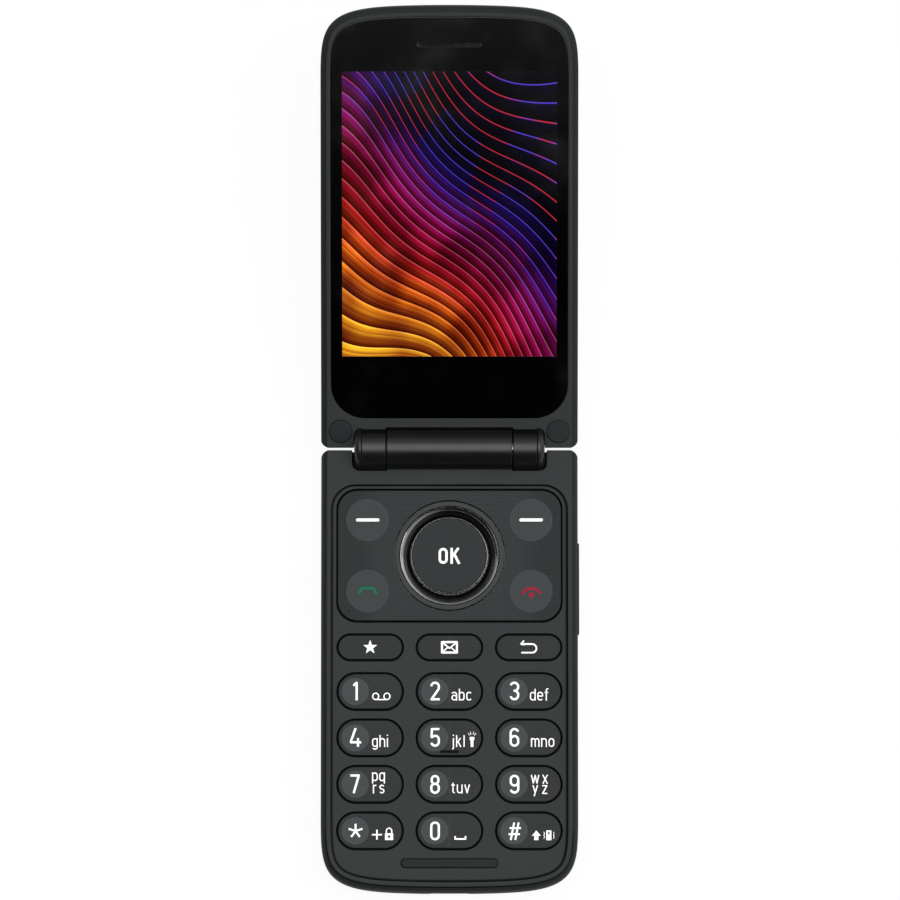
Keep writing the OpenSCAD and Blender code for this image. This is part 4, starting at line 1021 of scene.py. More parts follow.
@dataclass
class Hinge:
    """The barrel hinge: measures that both halves' mouldings need, and the caps on its ends."""

    barrel_r: float = 4.6
    turn_gap: float = 0.33
    barrel_half: float = 14.13
    knuckle_x: float = 14.38
    knuckle_end: float = 21.48
    knuckle_round: float = 1.5
    pocket_end: float = 21.98
    cap_w: float = 1.7
    broken: float = 0.16
    root_v: float = 7.5
    barrel_v: float = 4.55
    # Barrel faces past the axis that look up less than this get black painted shade.
    painted_shade_up: float = 0.55
    case_bore_r: float = 3.05
    case_bore: Point = (0.38, 15.18)
    sleeve_r: float = 2.5
    sleeve_bore: Point = (-15.13, -2.88)
    base_flex: Point = (-7.68, -3.48)
    lid_flex: Point = (-19.6, -17.0)

    def round_end(self, x0: float, x1: float, r: float, rounding: float, start: float = 0.0) -> Solid:
        """Makes a barrel section on the axis, rounded at its far end and broken by start at its near end."""
        near = reversed(turned_edge(r, x0, -start, 4)) if start else [(r, x0)]
        return turned([(0.0, x0), *near, *turned_edge(r, x1, rounding, 10), (0.0, x1)])

    def block(self, x0: float, x1: float, r: float) -> Solid:
        """Makes the block that carries a barrel on its own half."""
        return box(x0, x1, 0.0, self.root_v + r - self.barrel_r, 0.0, r - LEAF.face_to_axis)

    def middle_barrel(self) -> Solid:
        """Makes the middle barrel, with its ends' edges broken."""
        h = self.barrel_half
        low = turned_edge(self.barrel_r, -h, -self.broken, 4)[::-1]
        return turned([(0.0, -h), *low, *[(p, -x) for p, x in reversed(low)], (0.0, h)])

    def on_barrel(self, middle: np.ndarray) -> bool:
        """Tells whether the middle of a face lies on the round side of a barrel."""
        away = math.hypot(middle[1], middle[2] - LEAF.face_to_axis)
        return away < self.barrel_r + 0.05 and middle[1] < self.barrel_v

    def knuckle_space(self) -> Solid:
        """Makes the space in which the right outer barrel turns."""
        return self.round_end(self.barrel_half, self.pocket_end, self.barrel_r + self.turn_gap,
                              self.knuckle_round + 0.1)

    def flex_slot(self, x: Point, low: float) -> list[Solid]:
        """Makes the passage for the flexible circuit, from the bore to the half's inside."""
        return [box(x[0], x[1], 0.0, LEAF.cavity_v + 0.01, 1.0, 2.2),
                box(x[0], x[1], self.root_v + 0.1, LEAF.cavity_v + 0.02, 1.0, low)]

    def build_caps(self) -> None:
        """Builds the two caps, each with a turned groove beside it."""
        x0 = self.knuckle_end - self.cap_w + 0.03
        cap = self.round_end(x0, self.knuckle_end, self.barrel_r, self.knuckle_round, 0.22)
        both = Solid().join(cap).join(cap.flipped())
        Piece("hinge_cap_pair", "lid", (Skin.CAP,), ("hinge_caps",), "body_plastic", 40.0).build(both)


HINGE = Hinge()


@dataclass
class KeyPlan:
    """Where the keys lie and how large they are."""

    key_w: float = 14.353
    key_h: float = 7.9
    slim_h: float = 5.45
    slim_v: float = 44.915
    row_v: float = 54.9
    row_pitch: float = 10.47
    col_pitch: float = 17.853
    nav_w: float = 50.3
    nav_h: float = 29.5
    nav_v: float = 24.13
    nav_corner: float = 4.4
    gap: float = 0.25
    floor: float = 0.5
    top: float = 0.32
    plate_low: float = 1.6
    key_low: float = 2.3
    flange: Point = (0.6, 0.5)

    def middle(self, column: int, row: int) -> Point:
        """Gives the middle of a key; row -1 is the slim keys' row."""
        return column * self.col_pitch, self.slim_v if row < 0 else self.row_v + row * self.row_pitch

    def size(self, row: int, grow: float = 0.0) -> Point:
        """Gives the width and height of a key."""
        return self.key_w + grow, (self.slim_h if row < 0 else self.key_h) + grow

    def plate_outline(self, grow: float) -> list[Point]:
        """Gives the outline of the plate round the ring, larger by grow on every side."""
        outline = rounded_rect(self.nav_w + 2 * grow, self.nav_h + 2 * grow, self.nav_corner + grow)
        return shifted(outline, (0.0, self.nav_v))

    def openings(self) -> Solid:
        """Makes the openings of every key, with their upper edges broken."""
        flare = [(0.1, 0.21), (self.floor + 0.003, 0.21), (self.floor + 0.03, 0.15),
                 (self.floor + 0.08, 0.11), (self.plate_low + 0.1, 0.1)]
        out = Solid()
        for row in range(-1, 4):
            for column in (-1, 0, 1):
                w, h = self.size(row, 2 * self.gap)
                out.join(layered((d, shifted(pill(w + 2 * g, h + 2 * g), self.middle(column, row)))
                                 for d, g in flare))
        return out.join(layered((d, self.plate_outline(self.gap + g)) for d, g in flare))


KEYS = KeyPlan()


@dataclass
class KeypadHalf:
    """Mouldings of the keypad half: front frame, rear shell, back cover, soft bar, side key and socket."""

    parting: float = 1.0
    rise: float = 3.0
    back_round: float = 3.2
    recess: float = 0.5
    recess_v: float = 8.0
    dish_r: float = 5.6
    dish_edge: float = 0.95
    lip_low: float = 2.4
    floor_top: float = 4.9
    floor_low: float = 5.4
    board_low: float = 4.85
    cover_top: float = 8.7
    cover_skin: float = 9.6
    cover_v: float = 2.4
    end_screw: Point = (18.5, 94.5)
    hinge_screw: Point = (24.8, 5.0)
    boss_r: float = 1.9
    screw_head: Point = (1.5, 2.8)
    screw_r: float = 0.8
    inner_rim: Point = (3.5, 3.0)
    flex_low: float = 3.9
    past: Point = (-30.0, 30.0)
    past_end: float = 120.0
    step_from: float = 86.0
    bar: Point = (21.7, 2.0)
    bar_v: float = 93.6
    battery_v: float = 31.2
    battery: Point = (40.0, 49.5)
    side_key_v: float = 31.3
    side_key: Point = (20.9, 2.5)
    side_key_d: float = 4.8
    side_key_out: float = 0.3
    usb: Point = (9.0, 3.2)
    usb_front: float = 99.3
    usb_len: float = 7.4
    speaker_at: Point = (-12.5, 87.3)
    speaker: Point = (14.0, 11.0)
    motor_at: Point = (14.0, 87.5)
    motor: Point = (4.0, 2.7)
    mic_at: Point = (10.5, 95.6)
    mic: Point = (3.9, 3.1)
    sim_at: Point = (-12.5, 21.3)
    sim: Point = (23.0, 13.0)
    terminals_at: Point = (0.0, 30.0)
    terminals: Point = (14.0, 3.0)
    can_x0: float = 1.7
    can_w: float = 11.0
    clip_at: tuple[float, ...] = (24.05, 56.1, 84.2)
    clip_x: float = 24.6
    clip: Point = (0.9, 5.0)

    def screws(self) -> list[Point]:
        """Gives the places of the four screws."""
        return [(s * x, v) for x, v in (self.end_screw, self.hinge_screw) for s in (-1, 1)]

    def posts(self, r: float, top: float, low: float) -> Solid:
        """Makes a round post at every screw."""
        out = Solid()
        for at in self.screws():
            out.join(prism(shifted(disc(r, 32), at), top, low))
        return out

    def clips(self, grow: float, top: float, low: float) -> Solid:
        """Makes a block at every clip of the back cover."""
        out = Solid()
        for v in self.clip_at:
            for x in (-self.clip_x, self.clip_x):
                out.join(block((x, v), self.clip, top, low, grow))
        return out

    def dish(self) -> Solid:
        """Makes the dished recess of the keypad."""
        levels = [(-0.1, 0.0), (0.0, 0.0)]
        levels += [(self.recess * math.sin(a), self.dish_edge * (1 - math.cos(a))) for a in sweep(9, 90, 9)]
        return loft([(d, LEAF.rim_inset + i, self.recess_v + i * 0.55, self.dish_r - i) for d, i in levels])

    def build_front(self) -> None:
        """Builds the front frame with its middle barrel."""
        lip = combined(leaf_prism(LEAF.lip_inset, KEYS.plate_low - 0.01, self.lip_low, 8.6, 1.0),
                       cut=[leaf_prism(LEAF.lip_inset + 0.75, KEYS.plate_low - 0.02, self.lip_low + 1, 7.5)])
        h = HINGE.barrel_half
        bores = [rod(HINGE.case_bore_r, *HINGE.case_bore),
                 rod(HINGE.sleeve_r + 0.06, *HINGE.sleeve_bore, 84)]
        root = combined(HINGE.middle_barrel(), add=[HINGE.block(-h, h, HINGE.barrel_r)],
                        cut=[*bores, *HINGE.flex_slot(HINGE.base_flex, self.flex_low)])
        plate = combined(
            loft(rim_levels(self.parting)),
            add=[leaf_prism(LEAF.lip_inset, self.parting - 0.01, KEYS.plate_low, LEAF.leaf_v0 + 0.6), lip,
                 self.posts(self.boss_r, KEYS.plate_low - 0.01, self.floor_top - 0.05)],
            cut=[self.dish(), KEYS.openings(), HINGE.knuckle_space(), HINGE.knuckle_space().flipped(),
                 rod(HINGE.barrel_r - 0.2, -h - 0.1, h + 0.1, 90), self.posts(0.7, 1.2, self.floor_top + 1),
                 prism(shifted(pill(self.bar[0] + 0.3, self.bar[1] + 0.3), (0, self.bar_v)), 0.0,
                       self.recess + 0.6)])
        solid = combined(plate, add=[root])
        rim_x, rim_v = self.inner_rim

        def choose(middle: np.ndarray, direction: np.ndarray) -> int:
            """The barrel is satin; the openings and the barrel's far side get black painted shade, the
            recess walls painted shade by slope, and all else is painted.
            """
            sunk = self.recess_v - 0.1 < middle[1] and -3.0 < middle[2] < -0.004
            inside = abs(middle[0]) < LEAF.half_w - rim_x and middle[1] < LEAF.leaf_len - rim_v
            faces_in = direction[1] * (LEAF.leaf_len / 2 - middle[1]) - direction[0] * middle[0] > 0.0
            if sunk and -0.1 < direction[2] < 0.9985:
                # Openings below the recess get black painted shade; the recess walls above them get painted
                # shade by slope.
                if middle[2] < -self.recess - 0.01:
                    if inside:
                        return 3
                elif faces_in:
                    return 2
            # The barrel's far side, under the lid's edge, gets black painted shade.
            if HINGE.on_barrel(middle) and abs(middle[0]) < h + 0.01:
                return 3 if middle[1] < 0.0 and direction[2] < HINGE.painted_shade_up else 1
            return 0

        Piece("keypad_front", "base", (Skin.BODY, Skin.BARREL, Skin.SHADED_WALL, Skin.PAINTED_SHADE), ("base_front_frame",),
              "body_plastic", choose=choose).build(solid)

    def section(self) -> list[Level]:
        """Gives the levels of the rear shell and its cover, from the parting line to the back."""
        return body_levels(LEAF.base_t, self.parting, self.rise, self.back_round)

    def pockets(self, deep: float) -> Solid:
        """Makes the pockets round the bosses, the battery's terminals and the card sockets."""
        out = self.posts(self.boss_r + 0.1, KEYS.plate_low - 0.1, self.floor_top)
        out.join(block(self.terminals_at, self.terminals, self.floor_top - 0.1, deep))
        return out.join(block(self.sim_at, self.sim, self.floor_top - 0.1, deep, 0.2))

    def board_rooms(self, deep: float) -> Solid:
        """Makes the rooms of what stands on the board: the cans, loudspeaker, motor and microphone."""
        out = Solid()
        for i in (0, 1):
            x = self.can_x0 + i * (self.can_w + 1)
            out.join(block((x + self.can_w / 2, self.sim_at[1]), (self.can_w, self.sim[1]),
                           self.floor_top - 0.2, self.board_low + 1.5, 0.15))
        out.join(block(self.speaker_at, self.speaker, self.floor_top - 0.1, deep, 0.2))
        out.join(prism(shifted(disc(self.motor[0] + 0.2), self.motor_at), self.floor_top - 0.3,
                       self.board_low + self.motor[1] + 0.2))
        return out.join(block(self.mic_at, self.mic, self.floor_top - 0.2, self.board_low + 1.2))

    def end_openings(self) -> list[Solid]:
        """Makes the room and the mouth of the charging socket, and the microphone's channel."""
        w, t = self.usb
        past, clear = LEAF.leaf_len + 1.335, 0.15
        room = box(-w / 2 - clear, w / 2 + clear, self.usb_front - self.usb_len - clear,
                   self.usb_front + clear, self.floor_top - 0.2, self.board_low + t + 0.1)
        mouth = self.along(pill(w + 0.4, t + 0.4), past, past - 0.3 - self.usb_len, self.board_low + t / 2)
        voice = self.along(shifted(disc(0.5, 24), (self.mic_at[0], 0.0)), past, past - 6.3,
                           self.board_low + 0.55)
        return [room, mouth, voice]

    def side_openings(self) -> list[Solid]:
        """Makes the slot of the side key and the room behind it."""
        (key_l, key_h), v, d = self.side_key, self.side_key_v, self.side_key_d
        slot = self.across(pill(key_l + 0.3, key_h + 0.3), 2.0, -1.9).moved(LEAF.half_w, v, -d)
        length, height = key_l / 2 + 0.6, key_h / 2 + 0.6
        return [slot, box(LEAF.half_w - 3, LEAF.half_w - 0.9, v - length, v + length, d - height,
                          d + height)]

    def build_rear(self) -> None:
        """Builds the rear shell, with its openings for the socket, the microphone and the side key."""
        inset, h, deep = LEAF.lip_inset - 0.1, HINGE.barrel_half + 0.1, LEAF.base_t + 1
        bay = block((0.0, self.battery_v + self.battery[1] / 2), self.battery, self.floor_low, deep, 0.2)
        head_r, head_low = self.screw_head[0], LEAF.base_t - self.screw_head[1]
        heads = self.posts(head_r, head_low, deep).join(self.posts(self.screw_r, KEYS.plate_low, head_low))
        solid = combined(
            loft(self.section()),
            cut=[box(*self.past, self.cover_v, self.past_end, self.cover_top, deep),
                 self.clips(0.1, self.cover_top - 1.5, deep),
                 leaf_prism(LEAF.cavity_inset, 0.0, self.floor_top, LEAF.cavity_v, 1.5),
                 leaf_prism(inset, 0.0, KEYS.plate_low + 0.1, LEAF.leaf_v0 + 0.5),
                 leaf_prism(inset, 0.0, self.lip_low + 0.1, LEAF.cavity_v, 1.0),
                 bay, self.pockets(deep), self.board_rooms(deep), *self.end_openings(),
                 box(-h, h, -1.0, HINGE.root_v + 0.1, -0.1, HINGE.barrel_r + 0.1 - LEAF.face_to_axis),
                 rod(HINGE.barrel_r + 0.1, -h, h), HINGE.knuckle_space(), HINGE.knuckle_space().flipped(),
                 *HINGE.flex_slot(HINGE.base_flex, self.flex_low), *self.side_openings(), heads])

        def choose(middle: np.ndarray, direction: np.ndarray) -> int:
            """The narrow step beside the front frame gets black painted shade at the lower end, for the
            shadow in the parting gap.
            """
            beside = self.parting - 0.02 < -middle[2] < self.parting + 0.05
            return int(beside and middle[1] > self.step_from and direction[2] > 0.5)

        Piece("keypad_rear", "base", (Skin.SIDE, Skin.PAINTED_SHADE), ("base_rear_shell",), "side_plastic",
              choose=choose).build(solid)

    @staticmethod
    def along(outline: Sequence[Point], far: float, near: float, depth: float) -> Solid:
        """Makes an outline of x and z solid along v, about a depth."""
        return stack([[(x, v, z - depth) for x, z in outline] for v in (near, far)])

    @staticmethod
    def across(outline: Sequence[Point], outer: float, inner: float) -> Solid:
        """Makes an outline of v and z solid along x."""
        return stack([[(x, v, z) for v, z in outline] for x in (outer, inner)])

    def build_cover(self) -> None:
        """Builds the back cover with its sound slots and clips."""
        slots = Solid()
        bar = [(v, x) for x, v in reversed(pill(6.5, 0.9, 12))]
        for i in range(-2, 3):
            at = (self.speaker_at[0] + i * 2.2, self.speaker_at[1])
            slots.join(prism(shifted(bar, at), self.cover_top, LEAF.base_t + 1))
        solid = combined(
            loft(self.section()),
            keep=[box(*self.past, self.cover_v + 0.03, self.past_end, self.cover_top + 0.1,
                      LEAF.base_t + 1)],
            cut=[leaf_prism(self.back_round + 0.5, self.cover_top, self.cover_skin, self.cover_v + 1.3, 2.0),
                 slots])
        solid = combined(solid, add=[self.clips(0.0, self.cover_top - 1.4, self.cover_skin + 0.01)])
        Piece("back_cover", "base", (Skin.SIDE,), ("battery_cover",), "side_plastic").build(solid)

    def build_bar(self) -> None:
        """Builds the soft bar that the closed lid rests on."""
        bar = crowned(shifted(pill(*self.bar), (0.0, self.bar_v)), KEYS.top, self.recess + 0.6, 0.3, 6)
        Piece("soft_bar", "base", (Skin.SOFT_BAR,), ("base_bumper_bar",), "soft_rubber", 50.0).build(bar)

    def build_side_key(self) -> None:
        """Builds the side key: a pillowed bar, and the tongue that holds it."""
        outline = pill(*self.side_key)
        rings = [[(self.side_key_out - d, v, z) for v, z in inset_loop(outline, i)]
                 for d, i in quarter(0.28, 0.28, 5)]
        out = stack([*rings, [(-1.0, v, z) for v, z in outline]])
        tongue = box(-1.55, -0.99, -2.4, 2.4, -self.side_key[1] / 2 - 0.4, self.side_key[1] / 2 + 0.4)
        solid = combined(out, add=[tongue]).moved(LEAF.half_w, self.side_key_v, -self.side_key_d)
        Piece("side_key", "volume_key", (Skin.SIDE,), ("volume_key",), "side_plastic", 40.0).build(solid)

    def build_socket(self) -> None:
        """Builds the charging socket: a drawn shell, and its tongue with contacts."""
        w, t = self.usb
        d = self.board_low + t / 2
        back = self.usb_front - self.usb_len
        shell = combined(self.along(pill(w, t), self.usb_front, back, d),
                         cut=[self.along(pill(w - 0.6, t - 0.6), self.usb_front + 1, back + 0.4, d)])
        tongue = self.along(rounded_rect(w - 2.4, t - 2.5, 0.2, 4), self.usb_front - 0.8, back + 0.2, d)
        pads = Solid()
        for i in range(-4, 5):
            for s in (-1, 1):
                z = s * ((t - 2.5) / 2 + 0.005)
                pads.join(self.along(shifted(rounded_rect(0.28, 0.03, 0.01, 1), (i * 0.6, z)),
                                     self.usb_front - 1.0, back + 1.5, d))

        def choose(middle: np.ndarray, direction: np.ndarray) -> int:
            """The tongue is black, its contacts and the shell are metal."""
            z = abs(middle[2] + d)
            return int(abs(middle[0]) < w / 2 - 1.19 and z < (t - 2.5) / 2 + 0.001)

        Piece("charging_socket", "base", (Skin.TIN, Skin.PLAIN), ("usb_socket",), "tinned_steel",
              choose=choose).build(Solid().join(shell).join(tongue).join(pads))

    def build(self) -> None:
        """Builds the half's mouldings."""
        self.build_front()
        self.build_rear()
        self.build_cover()
        self.build_bar()
        self.build_side_key()
        self.build_socket()


# Print

PX = 1 / 4.413  # one print unit in millimetres
STROKES = dict[str, tuple[float, list[list[Point]]]]


def bowl(x: float, y: float, w: float, h: float, start: float, end: float) -> list[Point]:
    """Gives part of an upright oval that fills a box from its lower left corner.

    The oval is a pill: straight sides with round ends. start and end are angles in degrees about its
    middle, and end is past start where it runs anticlockwise.
    """
    r = w / 2
    cx, low, high = x + r, y + r, y + h - r
    out = []
    for a in sweep(start, end, max(4, int(abs(end - start) / 12))):
        up = math.sin(a)
        base = high if up > 1e-6 else low if up < -1e-6 else (high + low) / 2
        out.append((cx + r * math.cos(a), base + r * up))
    return out


def big_strokes() -> STROKES:
    """Gives the digits and signs: width, then strokes along their centre lines, in print units."""
    w, h, end = 7.5, 16.5, 1.1
    low_bowl = bowl(0, 0, w, 9.5, 0, 360)
    tail = [*bowl(0, h - 8, w, 8, 20, 180), (0, 4)]
    return {
        "0": (w, [bowl(0, 0, w, h, 90, 450)]),
        "1": (3.6, [[(-0.2, 13.5), (3.1, h), (3.1, -end)]]),
        "2": (w, [[*bowl(0, h - 8.6, w, 8.6, 175, -32), (0.2, 0), (w + 0.9, 0)]]),
        "3": (w, [bowl(0, 8.5, w, 8.0, 160, -90) + bowl(0, 0, w, 8.5, 90, -165)]),
        "4": (9.4, [[(4.6, h + 0.9), (0, 4.4), (0, 3.3), (10.2, 3.3)], [(7.0, 7.4), (7.0, -end)]]),
        "5": (w, [[(w + 0.5, h), (0.6, h), (0.3, 8.6), *bowl(0, 0, w, 9.8, 140, -165)]]),
        "6": (w, [low_bowl, tail]),
        "7": (w, [[(-0.9, h), (w, h), (2.4, -end)]]),
        "8": (w, [bowl(0, 0, w, 8.8, 0, 360), bowl(0.4, 8.8, w - 0.8, h - 8.8, 0, 360)]),
        "9": (w, [[(w - x, h - y) for x, y in low_bowl], [(w - x, h - y) for x, y in tail]]),
        "star": (14.0, [[(7.0, 8.7), (7.0 + 7.2 * math.cos(a), 8.7 + 7.2 * math.sin(a))]
                        for a in sweep(90, 378, 4)]),
        "hash": (12.2, [[(2.4, -0.6), (5.8, 16.8)], [(6.8, -0.6), (10.2, 16.8)], [(0.2, 5.2), (11.4, 5.2)],
                        [(1.2, 11.2), (12.4, 11.2)]]),
        "O": (6.7, [bowl(0, 0, 6.7, 13.4, 90, 450)]),
        "K": (7.2, [[(0, -1.3), (0, 14.7)], [(6.9, 14.7), (0.5, 6.0)], [(2.6, 8.4), (7.6, -1.3)]]),
    }


def small_strokes() -> STROKES:
    """Gives the small letters in the same way; they stand 7.6 units high, or 11.2 with their stems."""
    w, x, top, tail, end = 4.6, 7.6, 11.2, -2.9, 0.65
    high, low = x + end, -end
    ring = bowl(0, 0, w, x, 0, 360)
    arch = bowl(0, 0, w, x, 180, 0)
    dot = [(0, 10.3), (0, 11.6)]
    return {
        "a": (w, [bowl(0, 0, w, 4.6, 0, 360), [*bowl(0, 2.2, w, 5.4, 150, 0), (w, low)]]),
        "b": (w, [ring, [(0, top), (0, low)]]),
        "c": (w - 0.2, [bowl(0, 0, w, x, 35, 325)]),
        "d": (w, [ring, [(w, top), (w, low)]]),
        "e": (w, [[(0, 3.9), (w, 3.9), *bowl(0, 0, w, x, 10, 325)]]),
        "f": (2.6, [[(3.2, top), *arc(2.6, top - 1.6, 1.6, 1.6, 90, 180, 5), (1.0, low)],
                    [(-0.6, x), (2.9, x)]]),
        "g": (w, [ring, [(w, high), (w, -0.6), *arc(w / 2, -0.6, w / 2, 2.2, 0, -150, 8)]]),
        "h": (w, [[(0, top), (0, low)], [*arch, (w, low)]]),
        "i": (0.1, [[(0, high), (0, low)], dot]),
        "j": (0.1, [[(0, high), (0, -1.2), *arc(-1.2, -1.2, 1.2, 1.5, 0, -80, 4)], dot]),
        "k": (w - 0.3, [[(0, top), (0, low)], [(3.9, high), (0.3, 3.4)], [(1.5, 4.7), (4.2, low)]]),
        "l": (0.1, [[(0, top), (0, low)]]),
        "m": (7.3, [[(0, high), (0, low)], [*bowl(0, 0, 3.65, x, 180, 0), (3.65, low)],
                    [*bowl(3.65, 0, 3.65, x, 180, 0), (7.3, low)]]),
        "n": (w, [[(0, high), (0, low)], [*arch, (w, low)]]),
        "o": (w, [ring]),
        "p": (w, [ring, [(0, high), (0, tail)]]),
        "q": (w, [ring, [(w, high), (w, tail)]]),
        "r": (2.6, [[(0, high), (0, low)], bowl(0, 0, w, x, 180, 75)]),
        "s": (3.9, [[*bowl(0, 3.8, 3.9, 3.8, 30, 270), *bowl(0, 0, 3.9, 3.8, 90, -150)]]),
        "t": (2.6, [[(1.0, 10.0), (1.0, 1.6), *arc(2.6, 1.6, 1.6, 1.6, 180, 275, 5)],
                    [(-0.6, x), (2.9, x)]]),
        "u": (w, [[(0, high), *bowl(0, 0, w, x, 180, 360), (w, high)], [(w, high), (w, low)]]),
        "v": (w, [[(0, high), (w / 2, 0), (w, high)]]),
        "w": (7.4, [[(0, high), (1.9, 0), (3.7, high - 0.5), (5.5, 0), (7.4, high)]]),
        "x": (w, [[(0, high), (w, low)], [(w, high), (0, low)]]),
        "y": (w, [[(0, high), (2.4, 0.4)], [(w, high), (1.2, tail)]]),
        "z": (w - 0.2, [[(-0.4, x), (w - 0.3, x), (0, 0), (w + 0.2, 0)]]),
    }


@dataclass
class Print:
    """Print on one face: outlines are gathered in print units, then raised a little above the face.

    The units run right and up from the origin that solid() is given.
    """

    fine: float = 1.2
    sunk: float = 0.03
    outlines: list[list[Point]] = field(default_factory=list)
    holes: list[list[Point]] = field(default_factory=list)

    def stroke(self, line: Sequence[Point], width: float, round_ends: bool = True) -> None:
        """Adds a line of a width, as one outline for each straight step.

        Args:
            line: Points of the centre line.
            width: Width of the stroke.
            round_ends: Whether its two ends are round; its corners always are.
        """
        r = width / 2
        last = len(line) - 2
        for i, (a, b) in enumerate(zip(line, line[1:])):
            size = math.dist(a, b)
            if size < 1e-6:
                continue
            ux, uy = (b[0] - a[0]) / size, (b[1] - a[1]) / size
            turn = math.degrees(math.atan2(uy, ux))
            start = arc(*a, r, r, turn + 90, turn + 270, 4 if i else 8) if round_ends or i else [
                (a[0] - uy * r, a[1] + ux * r), (a[0] + uy * r, a[1] - ux * r)]
            end = arc(*b, r, r, turn - 90, turn + 90, 4 if i < last else 8) if round_ends or i < last else [
                (b[0] + uy * r, b[1] - ux * r), (b[0] - uy * r, b[1] + ux * r)]
            self.outlines.append([*start, *end])

    def glyph(self, strokes: tuple[float, list[list[Point]]], at: Point, width: float) -> float:
        """Adds a sign with its lower left corner at a point and gives its width."""
        for line in strokes[1]:
            self.stroke(shifted(line, at), width, False)
        return strokes[0]

    def word(self, text: str, left: float, base: float, gap: float = 2.75) -> None:
        """Adds small letters side by side from a left edge, on a base line."""
        letters = small_strokes()
        x = left + self.fine / 2
        for letter in text:
            x += self.glyph(letters[letter], (x, base + self.fine / 2), self.fine) + gap

    def shape(self, outline: Sequence[Point], at: Point = (0.0, 0.0)) -> None:
        """Adds a filled outline."""
        self.outlines.append(shifted(outline, at))

    def hole(self, outline: Sequence[Point], at: Point = (0.0, 0.0)) -> None:
        """Leaves an outline bare; it may not cross an edge of what is round it."""
        self.holes.append(shifted(outline, at))

    def solid(self, origin: Point, top: float, thick: float = 0.025) -> Solid:
        """Joins all outlines to one raised solid.

        Args:
            origin: Place of the units' origin in leaf measures.
            top: Depth of the face that the print lies on.
            thick: Height of the print.

        Returns:
            The print in leaf measures.
        """
        loops = [tidy(o) for o in self.outlines] + [tidy(o) for o in self.holes]
        verts = [Vector(p) for loop in loops for p in loop]
        faces, start = [], 0
        for loop in loops:
            faces.append(list(range(start, start + len(loop))))
            start += len(loop)
        points, _, tris, _, _, sources = delaunay_2d_cdt(verts, [], faces, 1, 1e-4)
        bare = set(range(len(self.outlines), len(loops)))
        kept = [t for t, s in zip(tris, sources) if s and not bare & set(s)]
        n = len(points)
        rim: dict[tuple[int, int], bool] = {}
        for t in kept:
            for a, b in zip(t, (*t[1:], t[0])):
                if not rim.pop((b, a), False):
                    rim[(a, b)] = True
        place = [(origin[0] + p[0] * PX, origin[1] - p[1] * PX) for p in points]
        upper = [(x, v, thick - top) for x, v in place]
        lower = [(x, v, -self.sunk - top) for x, v in place]
        out = [tuple(reversed(t)) for t in kept] + [tuple(n + i for i in t) for t in kept]
        out += [(a, b, n + b, n + a) for a, b in rim]
        return Solid().add(upper + lower, out)


# Labels beside the digits, in the print units of a key

LABEL_LEFT = 33.6
LABEL_BASE = 8.4
Label = Callable[[Print], None]


def word(text: str, shift: float = 0.0) -> Label:
    """Gives a label of one word."""
    return lambda ink: ink.word(text, LABEL_LEFT + shift, LABEL_BASE)


def two(upper: str, lower: str, gaps: Point, bases: Point, shift: float) -> Label:
    """Gives a label of two short lines."""
    def draw(ink: Print) -> None:
        """Draws both lines."""
        ink.word(upper, LABEL_LEFT, bases[0], gap=gaps[0])
        ink.word(lower, LABEL_LEFT + shift, bases[1], gap=gaps[1])
    return draw


def light(ink: Print) -> None:
    """Draws jkl and a small lamp with its rays."""
    ink.word("jkl", LABEL_LEFT + 1.4, LABEL_BASE, gap=3.1)
    ink.shape([(52.7, 8.4), (55.5, 8.4), (55.5, 14.6), (56.4, 15.8), (56.4, 18.4), (51.8, 18.4),
               (51.8, 15.8), (52.7, 14.6)])
    for a in (40, 70, 110, 140):
        c, s = math.cos(math.radians(a)), math.sin(math.radians(a))
        ink.stroke([(54.1 + 3.2 * c, 18.6 + 2.4 * s), (54.1 + 5.0 * c, 18.6 + 5.0 * s)], 0.7)


def tape(ink: Print) -> None:
    """Draws the answering machine's two loops."""
    for x in (37.2, 48.4):
        ink.stroke(arc(x, 12.6, 3.0, 3.2, 0, 360, 24), ink.fine)
    ink.stroke([(37.2, 9.4), (48.4, 9.4)], ink.fine)


def lock(ink: Print) -> None:
    """Draws a plus sign and a padlock with its keyhole."""
    ink.stroke([(33.6, 13.6), (43.6, 13.6)], 1.5, False)
    ink.stroke([(38.6, 8.6), (38.6, 18.6)], 1.5, False)
    ink.shape(rounded_rect(8.2, 6.8, 0.6, 4), (50.6, 11.6))
    ink.hole(disc(1.3, 12), (50.6, 11.6))
    ink.stroke([(47.9, 14.8), *arc(50.6, 17.2, 2.7, 2.8, 180, 0, 12), (53.3, 14.8)], 1.3)


def space(ink: Print) -> None:
    """Draws the space bar."""
    ink.stroke([(37.3, 12.2), (37.3, 9.3), (47.6, 9.3), (47.6, 12.2)], 1.6, False)


def shift_and_ring(ink: Print) -> None:
    """Draws the arrow for capitals and a phone that shakes."""
    ink.shape([(36.9, 8.2), (41.1, 8.2), (41.1, 12.5), (43.5, 12.5), (39.0, 17.8), (34.5, 12.5),
               (36.9, 12.5)])
    ink.shape(rounded_rect(5.2, 9.8, 0.7, 4), (51.4, 13.0))
    ink.hole(rounded_rect(1.8, 2.4, 0.4, 3), (51.4, 15.2))
    for x in (46.5, 56.0):
        ink.stroke([(x, 9.8), (x + 0.7, 11.4), (x, 13.0), (x + 0.7, 14.6), (x, 16.2)], 0.7)


LABELS: list[tuple[str, str, Label]] = [
    ("key_1", "1", tape), ("key_2", "2", word("abc")), ("key_3", "3", word("def", -0.8)),
    ("key_4", "4", word("ghi")), ("key_5", "5", light), ("key_6", "6", word("mno", 0.2)),
    ("key_7", "7", two("pq", "rs", (2.5, 3.8), (20.5, 8.3), 0.9)), ("key_8", "8", word("tuv")),
    ("key_9", "9", two("wx", "yz", (3.9, 5.0), (18.0, 7.8), 1.5)), ("key_asterisk", "star", lock),
    ("key_0", "0", space), ("key_hash", "hash", shift_and_ring)]


